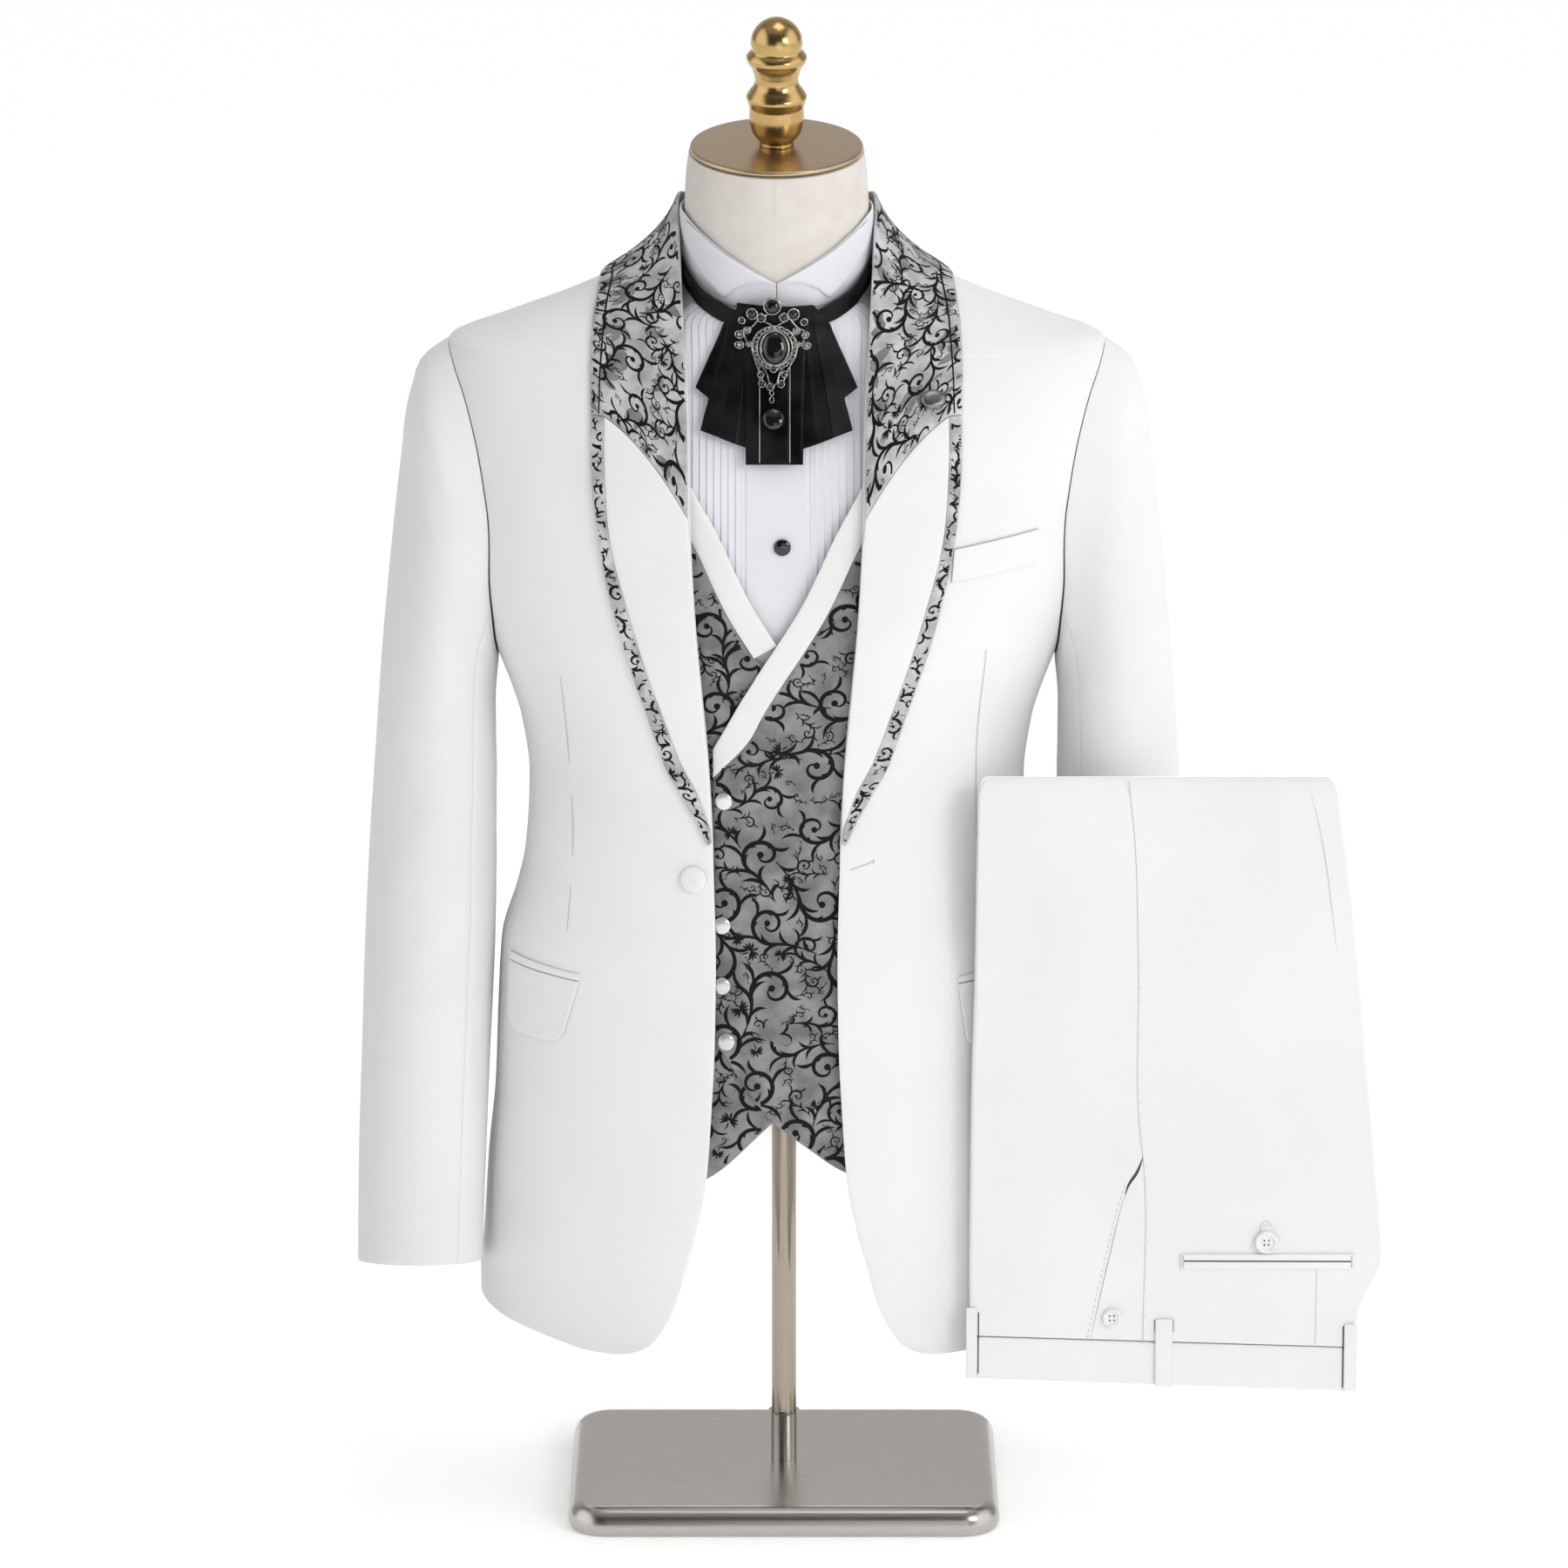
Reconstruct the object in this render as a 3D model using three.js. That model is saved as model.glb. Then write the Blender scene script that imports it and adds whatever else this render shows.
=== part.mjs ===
// Three-piece tuxedo on a dress form, in mm, +Z up, front facing -Y.
// Left and right are as a viewer in front sees them.
import * as THREE from "three";

const degrees = THREE.MathUtils.degToRad;
const seamGap = 0.3;              // between two pieces that meet at a seam
const jacketWall = 2;
const vestWall = 1.5;
const clothShift = -5;            // form and clothes sit this far to the left of the base's centre
const squareness = 2.3;           // exponent of the torso's rounded sections
const neckTilt = degrees(9);
const neckFootHeight = 868;
const neckFootDepth = -4;
const layer = { vestOver: -6, vestUnder: -9.2, vestBack: -7, lapel: 3.2, pocket: 2.8, welt: 2.4 };

const cream = { colour: 0xf2eee6, roughness: 0.85, metalness: 0 };
const whiteCloth = { colour: 0xf1f1f0, roughness: 0.7, metalness: 0 };
const shirtCloth = { colour: 0xf4f4fb, roughness: 0.75, metalness: 0 };
const brocade = { colour: 0x8f8f92, roughness: 0.45, metalness: 0.1 };
const satin = { colour: 0x111114, roughness: 0.35, metalness: 0 };
const brass = { colour: 0xb08a45, roughness: 0.3, metalness: 1 };
const steel = { colour: 0x9c968d, roughness: 0.25, metalness: 1 };
const jet = { colour: 0x08080a, roughness: 0.12, metalness: 0.2 };

// The jacket's outer surface, section by section.
const torso = [
  { z: 126, half: 206, front: 108, back: 122 },
  { z: 165, half: 206.5, front: 110.5, back: 122 },
  { z: 190, half: 204, front: 111.7, back: 122 },
  { z: 250, half: 200, front: 112, back: 121 },
  { z: 300, half: 195, front: 112, back: 119 },
  { z: 350, half: 193, front: 110.5, back: 116 },
  { z: 400, half: 190, front: 108, back: 111 },
  { z: 437, half: 179, front: 105.5, back: 105 },
  { z: 465, half: 173, front: 103.7, back: 101 },
  { z: 498, half: 170.5, front: 103, back: 98.5 },
  { z: 517, half: 170, front: 103, back: 98 },
  { z: 557, half: 175, front: 107.5, back: 105 },
  { z: 578, half: 181, front: 112, back: 111 },
  { z: 602, half: 190, front: 118, back: 118 },
  { z: 626, half: 199.5, front: 120.5, back: 119 },
  { z: 670, half: 213.5, front: 122, back: 122 },
  { z: 718, half: 219.5, front: 122, back: 120 },
  { z: 767, half: 225.5, front: 112, back: 112 },
  { z: 799, half: 227.5, front: 96, back: 105 },
  { z: 820, half: 223, front: 82, back: 98 },
  { z: 834, half: 188, front: 70, back: 92 },
  { z: 848, half: 149, front: 58, back: 86 },
  { z: 860, half: 120, front: 48, back: 80 },
  { z: 873, half: 86, front: 40, back: 72 },
];
// The dress form under the clothes.
const form = [
  { z: 322, half: 150, front: 76, back: 86, middle: 0, tilt: 0, power: 2.3 },
  { z: 326, half: 166, front: 86, back: 96, middle: 0, tilt: 0, power: 2.3 },
  { z: 336, half: 172, front: 91, back: 100, middle: 0, tilt: 0, power: 2.3 },
  { z: 400, half: 169, front: 90, back: 94, middle: 0, tilt: 0, power: 2.3 },
  { z: 440, half: 159, front: 87, back: 87, middle: 0, tilt: 0, power: 2.3 },
  { z: 475, half: 152, front: 85.5, back: 82, middle: 0, tilt: 0, power: 2.3 },
  { z: 515, half: 151, front: 85, back: 80, middle: 0, tilt: 0, power: 2.3 },
  { z: 557, half: 154, front: 89, back: 85, middle: 0, tilt: 0, power: 2.3 },
  { z: 602, half: 167, front: 98, back: 96, middle: 0, tilt: 0, power: 2.3 },
  { z: 645, half: 184, front: 103, back: 102, middle: 0, tilt: 0, power: 2.3 },
  { z: 690, half: 192, front: 104, back: 103, middle: 0, tilt: 0, power: 2.3 },
  { z: 730, half: 196, front: 102.5, back: 100, middle: 0, tilt: 0, power: 2.3 },
  { z: 765, half: 198, front: 94.5, back: 95, middle: 0, tilt: 0, power: 2.3 },
  { z: 790, half: 192, front: 83, back: 88, middle: 0, tilt: 0, power: 2.3 },
  { z: 808, half: 168, front: 75.5, back: 81, middle: 0, tilt: 0, power: 2.2 },
  { z: 823, half: 134, front: 69, back: 75, middle: -1, tilt: 0, power: 2.1 },
  { z: 836, half: 101, front: 65.5, back: 68, middle: -2, tilt: 1, power: 2.05 },
  { z: 848, half: 78, front: 61.8, back: 64, middle: -3, tilt: 4, power: 2.02 },
  { z: 858, half: 66.4, front: 61.6, back: 63, middle: -3.6, tilt: 7, power: 2 },
  { z: 868, half: 62.6, front: 62.6, back: 62.6, middle: -4, tilt: 9, power: 2 },
  { z: 890, half: 62.4, front: 62.4, back: 62.4, middle: -7.5, tilt: 9, power: 2 },
  { z: 915, half: 62.2, front: 62.2, back: 62.2, middle: -11.4, tilt: 9, power: 2 },
  { z: 936, half: 61.2, front: 61.2, back: 61.2, middle: -14.8, tilt: 9, power: 2 },
  { z: 951.5, half: 59.2, front: 59.2, back: 59.2, middle: -17.2, tilt: 9, power: 2 },
];
const frontEdge = [
  { z: 126, x: 112 }, { z: 127, x: 102 }, { z: 129, x: 96 }, { z: 133, x: 88 }, { z: 144, x: 79.5 },
  { z: 165, x: 69.5 }, { z: 194, x: 61.5 }, { z: 222, x: 54 }, { z: 252, x: 48.5 }, { z: 306, x: 44.5 },
  { z: 346, x: 42.5 }, { z: 407, x: 41.5 }, { z: 474, x: 43 }, { z: 500, x: 43.5 }, { z: 530, x: 45 },
  { z: 560, x: 47 }, { z: 600, x: 50.5 }, { z: 640, x: 54 }, { z: 680, x: 56.5 }, { z: 720, x: 58 },
  { z: 760, x: 58.5 }, { z: 800, x: 59.5 }, { z: 835, x: 62 }, { z: 873, x: 65 },
];
const jacketHem = [
  { x: 0, z: 126 }, { x: 112, z: 126 }, { x: 131, z: 127 }, { x: 151, z: 131.5 },
  { x: 170, z: 136 }, { x: 190, z: 140.5 }, { x: 206, z: 146 },
];
const armhole = { height: 711, rise: 109, depth: 64 };
const sideTurn = 30;              // the side seams meet the armhole this far round from its foot
const lowRows = [126, 133, 142, 158, 178, 200, 245, 295, 345, 395, 435, 475, 520, 565];
const armRows = [30, 50, 70, 90, 110, 130, 150, 165, 180];
const shoulderRows = [834, 848, 860, 872];
const hemBlend = 200;             // rows above this height are level
const seamNudge = degrees(0.06);  // half a seam's gap, as an angle round the torso

// Small helpers.
const add = (p, q, k = 1) => p.map((v, i) => v + k * q[i]);
const minus = (p, q) => p.map((v, i) => v - q[i]);
const dot = (p, q) => p[0] * q[0] + p[1] * q[1] + p[2] * q[2];
const cross = (p, q) => [p[1] * q[2] - p[2] * q[1], p[2] * q[0] - p[0] * q[2], p[0] * q[1] - p[1] * q[0]];
const unit = (p) => p.map((v) => v / Math.hypot(...p));
const mix = (a, b, t) => a + (b - a) * t;
const steps = (count) => Array.from({ length: count + 1 }, (_, i) => i / count);
const mirror = (grid) => grid.map((row) => row.map(([x, y, z]) => [-x, y, z]));

// A smooth curve through a table's rows that never overshoots them.
function track(table, key, value) {
  const at = table.map((row) => row[key]), to = table.map((row) => row[value]);
  const gap = at.slice(1).map((v, i) => v - at[i]);
  const rise = gap.map((g, i) => (to[i + 1] - to[i]) / g);
  const slope = at.map((_, i) => {
    if (i === 0) return rise[0];
    if (i === at.length - 1) return rise[i - 1];
    return rise[i - 1] * rise[i] <= 0 ? 0 : (2 * rise[i - 1] * rise[i]) / (rise[i - 1] + rise[i]);
  });
  return (where) => {
    const v = Math.min(Math.max(where, at[0]), at[at.length - 1]);
    let i = 0;
    while (i < gap.length - 1 && v > at[i + 1]) i++;
    const t = (v - at[i]) / gap[i], s = 1 - t;
    return (1 + 2 * t) * s * s * to[i] + t * s * s * gap[i] * slope[i]
      + t * t * (3 - 2 * t) * to[i + 1] - t * t * s * gap[i] * slope[i + 1];
  };
}
const halfAt = track(torso, "z", "half");
const frontAt = track(torso, "z", "front"), backAt = track(torso, "z", "back");
const edgeAt = track(frontEdge, "z", "x"), hemAt = track(jacketHem, "x", "z");
const formAt = Object.fromEntries(["half", "front", "back", "middle", "tilt", "power"]
  .map((name) => [name, track(form, "z", name)]));

// A point on a rounded section: angle 0 is the front's middle, 90 the right side, 180 the back.
function section(angle, half, front, back, power) {
  const s = Math.sin(angle), c = Math.cos(angle), e = 2 / power;
  const depth = c > 0 ? -front : back;
  return [half * Math.sign(s) * Math.abs(s) ** e, depth * Math.abs(c) ** e];
}
function skin(angle, z) {
  return [...section(angle, halfAt(z), frontAt(z), backAt(z), squareness), z];
}
function formSkin(angle, z) {
  const [x, y] = section(angle, formAt.half(z), formAt.front(z), formAt.back(z), formAt.power(z));
  return [x, y + formAt.middle(z), z + y * Math.tan(degrees(formAt.tilt(z)))];
}
// The point pushed out by lift along the surface's normal.
function lifted(surface, angle, z, lift) {
  const step = 0.002, high = 0.4;
  const across = minus(surface(angle + step, z), surface(angle - step, z));
  const up = minus(surface(angle, z + high), surface(angle, z - high));
  return add(surface(angle, z), unit(cross(across, up)), lift);
}
const body = (angle, z, lift = 0) => lifted(skin, angle, Math.min(z, 872.5), lift);
const angleOf = (x, z) => Math.sign(x) * Math.asin(Math.min(1, Math.abs(x) / halfAt(z)) ** (squareness / 2));
const bodyAt = (x, z, lift = 0) => body(angleOf(x, z), z, lift);
function chestAt(x, z, lift) {
  const reach = Math.min(1, Math.abs(x) / formAt.half(z)) ** (formAt.power(z) / 2);
  return lifted(formSkin, Math.sign(x) * Math.asin(reach), z, lift);
}

// Solids from grids of points.
function quads(grid, wrap, out) {
  for (let i = 0; i + 1 < grid.length; i++) {
    const last = wrap ? grid[i].length : grid[i].length - 1;
    for (let j = 0; j < last; j++) {
      const k = (j + 1) % grid[i].length;
      out.push([grid[i][j], grid[i][k], grid[i + 1][k]], [grid[i][j], grid[i + 1][k], grid[i + 1][j]]);
    }
  }
  return out;
}
// A sheet of cloth: its outer and inner grids joined round the rim.
function wall(outer, inner) {
  const flip = (tris) => tris.map(([a, b, c]) => [a, c, b]);
  const side = (line) => quads([line(outer), line(inner)], false, []);
  return [
    ...flip(quads(outer, false, [])), ...quads(inner, false, []),
    ...side((g) => g[0]), ...flip(side((g) => g[g.length - 1])),
    ...flip(side((g) => g.map((row) => row[0]))), ...side((g) => g.map((row) => row[row.length - 1])),
  ];
}
// A stack of closed rings with a flat cap at each end.
function stack(rings) {
  const centre = (ring) => ring.reduce((sum, p) => add(sum, p, 1 / ring.length), [0, 0, 0]);
  const tris = quads(rings, true, []);
  const first = rings[0], last = rings[rings.length - 1];
  const low = centre(first), high = centre(last);
  first.forEach((p, j) => tris.push([low, first[(j + 1) % first.length], p]));
  last.forEach((p, j) => tris.push([high, p, last[(j + 1) % last.length]]));
  return tris;
}
// Rings whose last one joins the first.
const hoop = (rings) => quads([...rings, rings[0]], true, []);

// The grid pushed along its own normals, away from the given middle when the lift is positive.
function pushed(grid, lift, middle) {
  const last = grid.length - 1, end = grid[0].length - 1;
  const normal = (i, j) => {
    const down = grid[Math.max(i - 1, 0)][j], up = grid[Math.min(i + 1, last)][j];
    const left = grid[i][Math.max(j - 1, 0)], right = grid[i][Math.min(j + 1, end)];
    return unit(cross(minus(right, left), minus(up, down)));
  };
  const i = last >> 1, j = end >> 1;
  const sign = dot(normal(i, j), minus(grid[i][j], middle)) < 0 ? -1 : 1;
  return grid.map((row, r) => row.map((p, c) => add(p, normal(r, c), sign * lift)));
}
// A turned shape on the given axis; its profile gives radius and height.
function turned(profile, count, foot, axis) {
  const up = unit(axis), side = unit(cross(up, Math.abs(up[2]) > 0.9 ? [0, 1, 0] : [0, 0, 1]));
  const other = cross(up, side);
  return profile.map(({ r, h }) => steps(count).slice(0, count).map((t) => {
    const a = 2 * Math.PI * t;
    return add(add(add(foot, up, h), side, r * Math.cos(a)), other, r * Math.sin(a));
  }));
}

const root = new THREE.Group();
root.name = "tuxedo";
function put(name, tris, look, shift = clothShift) {
  const area = ([a, b, c]) => Math.hypot(...cross(minus(b, a), minus(c, a)));
  const kept = tris.filter((t) => area(t) > 1e-6);
  const volume = kept.reduce((sum, [a, b, c]) => sum + dot(a, cross(b, c)), 0);
  const facing = volume < 0 ? kept.map(([a, b, c]) => [a, c, b]) : kept;
  const numbers = facing.flat().flatMap(([x, y, z]) => [x + shift, y, z]);
  const geometry = new THREE.BufferGeometry();
  geometry.setAttribute("position", new THREE.Float32BufferAttribute(numbers, 3));
  geometry.computeVertexNormals();
  const material = new THREE.MeshStandardMaterial({
    color: look.colour, roughness: look.roughness, metalness: look.metalness, side: THREE.DoubleSide,
  });
  const mesh = new THREE.Mesh(geometry, material);
  mesh.name = name;
  root.add(mesh);
}
// The same piece on both sides, from the right one's two grids.
function putPair(name, outer, inner, look) {
  put(name + "_right", wall(outer, inner), look);
  put(name + "_left", wall(mirror(outer), mirror(inner)), look);
}

// Stand.
const base = { width: 298, depth: 234, corner: 27, pole: 8.6, ferrule: 10.9, ferruleTop: 55, poleTop: 321.7 };
const baseEdge = [
  { inset: 5, z: 0 }, { inset: 1.5, z: 1 }, { inset: 0, z: 4 }, { inset: 0, z: 9 },
  { inset: 1.2, z: 13 }, { inset: 4, z: 17 }, { inset: 8.5, z: 19.5 }, { inset: 12, z: 20 },
];
function plateRing(inset, z) {
  const ring = [], r = base.corner - inset;
  const cx = base.width / 2 - base.corner, cy = base.depth / 2 - base.corner;
  [[1, 1], [-1, 1], [-1, -1], [1, -1]].forEach(([sx, sy], quarter) => {
    for (const t of steps(5)) {
      const a = Math.PI / 2 * (quarter + t);
      ring.push([sx * cx + r * Math.cos(a), sy * cy + r * Math.sin(a), z]);
    }
  });
  return ring;
}
function buildStand() {
  put("stand_base", stack(baseEdge.map(({ inset, z }) => plateRing(inset, z))), steel, 0);
  const top = baseEdge[baseEdge.length - 1].z;
  const pole = [{ r: base.pole, h: top + 0.1 }, { r: base.pole, h: base.poleTop }];
  put("stand_pole", stack(turned(pole, 18, [0, 0, 0], [0, 0, 1])), steel, 0);
  const ferrule = [
    { r: base.pole + 0.3, h: top + 0.1 }, { r: base.ferrule, h: top + 0.1 },
    { r: base.ferrule, h: base.ferruleTop - 1 }, { r: base.ferrule - 1, h: base.ferruleTop },
    { r: base.pole + 0.3, h: base.ferruleTop },
  ];
  put("stand_ferrule", hoop(turned(ferrule, 18, [0, 0, 0], [0, 0, 1])), steel, 0);
}

// Dress form, cap and finial.
const capProfile = [
  { r: 55, h: 0 }, { r: 57.5, h: 0.6 }, { r: 58.4, h: 2 }, { r: 58, h: 3.6 }, { r: 57, h: 4.1 },
];
const finialProfile = [
  { r: 11.5, h: 0 }, { r: 11.8, h: 1 }, { r: 11.3, h: 2.4 }, { r: 13.2, h: 4.4 }, { r: 16.4, h: 9 },
  { r: 18, h: 15 }, { r: 18.5, h: 23 }, { r: 18.3, h: 26 }, { r: 19.6, h: 30.5 }, { r: 20.4, h: 34 }, { r: 18.6, h: 37.4 },
  { r: 15.6, h: 42 }, { r: 14.6, h: 46 }, { r: 15.6, h: 50.5 }, { r: 17.2, h: 55 }, { r: 20, h: 59.5 },
  { r: 20.4, h: 62 }, { r: 18.8, h: 64.6 }, { r: 16.9, h: 66.6 }, { r: 17.5, h: 71.5 }, { r: 16.8, h: 76.5 },
  { r: 14, h: 82 }, { r: 9.6, h: 86.2 }, { r: 4.6, h: 88.6 },
];
function buildForm() {
  const around = 24, rows = form.map((row) => row.z);
  const ring = (z) => steps(around).slice(0, around).map((t) => formSkin(2 * Math.PI * t, z));
  put("dress_form", stack(rows.map(ring)), cream);
  const axis = [0, -Math.sin(neckTilt), Math.cos(neckTilt)];
  const neckTop = form[form.length - 1];
  const seat = add([0, neckTop.middle, neckTop.z], axis, 0.3);
  put("neck_cap", stack(turned(capProfile, 28, seat, axis)), brass);
  const foot = add(seat, axis, capProfile[capProfile.length - 1].h + 0.3);
  put("neck_finial", stack(turned(finialProfile, 16, foot, axis)), brass);
}

// Jacket.
const armRing = (turn) => {
  const z = armhole.height - armhole.rise * Math.cos(turn);
  const deep = armhole.depth * Math.abs(Math.sin(turn));
  const isFront = Math.sin(turn) >= 0;
  const depth = isFront ? frontAt(z) : backAt(z);
  const angle = Math.acos(Math.min(1, deep / depth) ** (squareness / 2));
  return { angle: isFront ? angle : Math.PI - angle, z };
};
const sideSeam = { front: armRing(degrees(sideTurn)).angle, back: armRing(degrees(-sideTurn)).angle };
const backHem = 151;
const hemHeight = (angle) => {
  const past = sideSeam.front;
  if (angle <= past) return hemAt(skin(angle, lowRows[0])[0]);
  return mix(hemAt(skin(past, lowRows[0])[0]), backHem, (angle - past) / (Math.PI - past));
};
const level = (rowZ, hem) => {
  const low = lowRows[0];
  return rowZ >= hemBlend ? rowZ : hem + (rowZ - low) * (hemBlend - hem) / (hemBlend - low);
};
// Each row of a panel gives its height and how far round the torso it may reach.
function panelRows(isFront) {
  const side = isFront ? sideSeam.front : sideSeam.back;
  const nudge = seamNudge * (isFront ? -1 : 1);
  const turn = isFront ? 1 : -1;
  const shoulder = Math.PI / 2 + nudge, armTop = armhole.height + armhole.rise - 1;
  const rows = [
    ...lowRows.map((z) => ({ z, angle: side + nudge })),
    ...armRows.map((a) => armRing(turn * degrees(a))),
    ...shoulderRows.map((z) => ({ z, angle: shoulder })),
  ];
  rows[lowRows.length].angle = side + nudge;
  return rows.map((row) => (row.z > armTop ? { ...row, angle: shoulder } : row));
}
function frontGrid(lift) {
  const cells = 7, side = sideSeam.front;
  const tip = angleOf(edgeAt(lowRows[0]), lowRows[0]);
  return panelRows(true).map((row) => steps(cells).map((u) => {
    const from = angleOf(edgeAt(row.z), row.z);
    const z = level(row.z, hemHeight(mix(tip, side, u)));
    return body(mix(from, row.angle, u), z, lift);
  }));
}
function backGrid(lift) {
  const cells = 5, middle = Math.PI - seamGap / 2 / torso[0].back;
  return panelRows(false).map((row) => steps(cells).map((u) => {
    const angle = mix(row.angle, middle, u);
    return body(angle, level(row.z, hemHeight(angle)), lift);
  }));
}
function sideGrid(lift) {
  const turns = [30, 15, 0, -15, -30].map(degrees);
  const from = sideSeam.front + seamNudge, to = sideSeam.back - seamNudge;
  const low = lowRows.map((rowZ) => turns.map((_, j) => {
    const angle = mix(from, to, j / 4);
    return body(angle, level(rowZ, hemHeight(angle)), lift);
  }));
  const top = turns.map((turn, j) => body(mix(from, to, j / 4), armRing(turn).z, lift));
  return [...low, top];
}
const sleeveRings = [
  { ix: 191, iz: 594, ox: 238, oz: 810, middle: 0, half: 66, bow: 5, tilt: 0 },
  { ix: 192, iz: 584, ox: 249, oz: 785, middle: 0, half: 68, bow: 2, tilt: 0 },
  { ix: 193, iz: 570, ox: 257, oz: 735, middle: 0, half: 69, bow: 0, tilt: 0 },
  { ix: 193, iz: 550, ox: 264, oz: 675, middle: -1, half: 69, bow: 0, tilt: 1 },
  { ix: 193, iz: 522, ox: 270, oz: 612, middle: -3, half: 67, bow: 0, tilt: 2 },
  { ix: 193, iz: 485, ox: 275, oz: 545, middle: -5, half: 64, bow: 0, tilt: 4 },
  { ix: 193.5, iz: 440, ox: 280, oz: 475, middle: -8, half: 60, bow: 0, tilt: 5 },
  { ix: 195, iz: 385, ox: 284, oz: 402, middle: -14, half: 56, bow: 0, tilt: 7 },
  { ix: 198, iz: 325, ox: 286.5, oz: 330, middle: -23, half: 52, bow: 0, tilt: 9 },
  { ix: 201, iz: 255, ox: 289, oz: 257, middle: -35, half: 47, bow: 0, tilt: 10 },
  { ix: 204, iz: 180, ox: 290, oz: 180, middle: -48, half: 43.5, bow: 0, tilt: 11 },
];
function sleevePoint(ring, turn) {
  const c = Math.cos(turn), s = Math.sin(turn);
  return [
    mix(ring.ix, ring.ox, (1 - c) / 2) - ring.bow * s * s,
    ring.middle - ring.half * s,
    mix(ring.iz, ring.oz, (1 - c) / 2) + ring.half * s * Math.tan(degrees(ring.tilt)),
  ];
}
function sleeveGrid(turns) {
  const seat = turns.map((turn) => {
    const { angle, z } = armRing(turn);
    return add(body(angle, z), [0.4, 0, 0]);
  });
  return [seat, ...sleeveRings.map((ring) => turns.map((turn) => sleevePoint(ring, turn)))];
}
const sleeveTurns = [
  -50, -30, -15, 0, 15, 30, 50, 70, 90, 110, 130, 150, 165, 180, 195, 210, 230, 250, 270, 290,
];
const frontSeamColumn = 6;        // where the under sleeve ends and the top sleeve begins
// The sleeve's outer and inner grids, closed round the arm; both panels are cut from them.
function wholeSleeve() {
  const open = sleeveGrid(sleeveTurns.map(degrees));
  const outer = open.map((row) => [row[row.length - 1], ...row, row[0], row[1]]);
  const inner = pushed(outer, -jacketWall, [230, 0, 500]);
  return [outer, inner].map((grid) => grid.map((row) => row.slice(1, -1)));
}
// Columns first to last of a grid, its two side edges drawn in by half a seam.
function panelOf(grid, first, last) {
  return grid.map((row) => {
    const cut = row.slice(first, last + 1), end = cut.length - 1;
    const drawIn = (p, q) => add(p, unit(minus(q, p)), seamGap / 2);
    return [drawIn(cut[0], cut[1]), ...cut.slice(1, -1), drawIn(cut[end], cut[end - 1])];
  });
}

// White lapel from its tip up to the collar seam; "in" is the roll line, "out" the seam with the edge band.
const lapel = [
  { inX: 44, inZ: 498, outX: 45.5, outZ: 504, arch: 0 },
  { inX: 45, inZ: 530, outX: 54, outZ: 527, arch: 0 },
  { inX: 46.5, inZ: 552, outX: 65, outZ: 549, arch: 0 },
  { inX: 49.5, inZ: 587, outX: 77.5, outZ: 585, arch: 0 },
  { inX: 52.5, inZ: 622, outX: 89.5, outZ: 621, arch: 0 },
  { inX: 55, inZ: 652, outX: 98.5, outZ: 652, arch: 1 },
  { inX: 56.5, inZ: 680, outX: 106.5, outZ: 681, arch: 3 },
  { inX: 57.5, inZ: 699, outX: 111.5, outZ: 706, arch: 5 },
  { inX: 58.5, inZ: 708, outX: 114, outZ: 735, arch: 6 },
  { inX: 59, inZ: 715, outX: 115, outZ: 760, arch: 7 },
  { inX: 59.5, inZ: 720, outX: 115, outZ: 783.5, arch: 8 },
];
const lapelBand = [
  { outX: 54, outZ: 506 }, { outX: 66, outZ: 527 }, { outX: 76, outZ: 547 }, { outX: 87.5, outZ: 583 },
  { outX: 99.5, outZ: 619 }, { outX: 108.5, outZ: 651 }, { outX: 115.5, outZ: 681 }, { outX: 119.5, outZ: 706 },
  { outX: 122.5, outZ: 735 }, { outX: 123.8, outZ: 760 }, { outX: 124, outZ: 784 },
];
const bandTip = { inX: 44, inZ: 491.5, outX: 46.5, outZ: 489.5 };
const across = (row, u) => [
  mix(row.inX, row.outX, u), mix(row.inZ, row.outZ, u) + row.arch * 4 * u * (1 - u),
];
const onBody = (rows, lift) => rows.map((row) => row.map(([x, z]) => bodyAt(x, z, lift)));
const lapelRows = () => lapel.map((row) => steps(5).map((u) => across(row, u)));
function bandRows() {
  const edges = lapel.map((row, i) => ({ ...lapelBand[i], inX: row.outX + seamGap, inZ: row.outZ }));
  return [bandTip, ...edges].map(({ inX, inZ, outX, outZ }) =>
    steps(2).map((u) => [mix(inX, outX, u), mix(inZ, outZ, u)]));
}
// Brocade collar: rows on the chest, then free rows over the shoulder and round the neck.
const chestCollar = [
  { inX: 59.3, inZ: 745, outX: 124.3, outZ: 797, arch: 5 },
  { inX: 59.8, inZ: 775, outX: 124.6, outZ: 812, arch: 3 },
  { inX: 60.6, inZ: 805, outX: 124.2, outZ: 827, arch: 1 },
  { inX: 62, inZ: 832, outX: 123.4, outZ: 840, arch: 0 },
];
const neckCollar = [
  { roll: [64, -53, 863], bend: [90, -46, 861], edge: [122, -32, 855.5] },
  { roll: [66.6, -29, 893], bend: [83, -24, 873], edge: [120.6, -14, 862.5] },
  { roll: [68, 0, 916], bend: [80, 0, 884], edge: [119, 4, 866] },
  { roll: [59.5, 34, 915], bend: [74, 40, 888], edge: [106, 42, 867] },
  { roll: [34, 60, 913.5], bend: [44, 69, 892], edge: [70, 72, 868] },
];
const collarBack = { roll: [0, 70, 912.5], bend: [0, 84, 896], edge: [0, 84, 869] };
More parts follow.
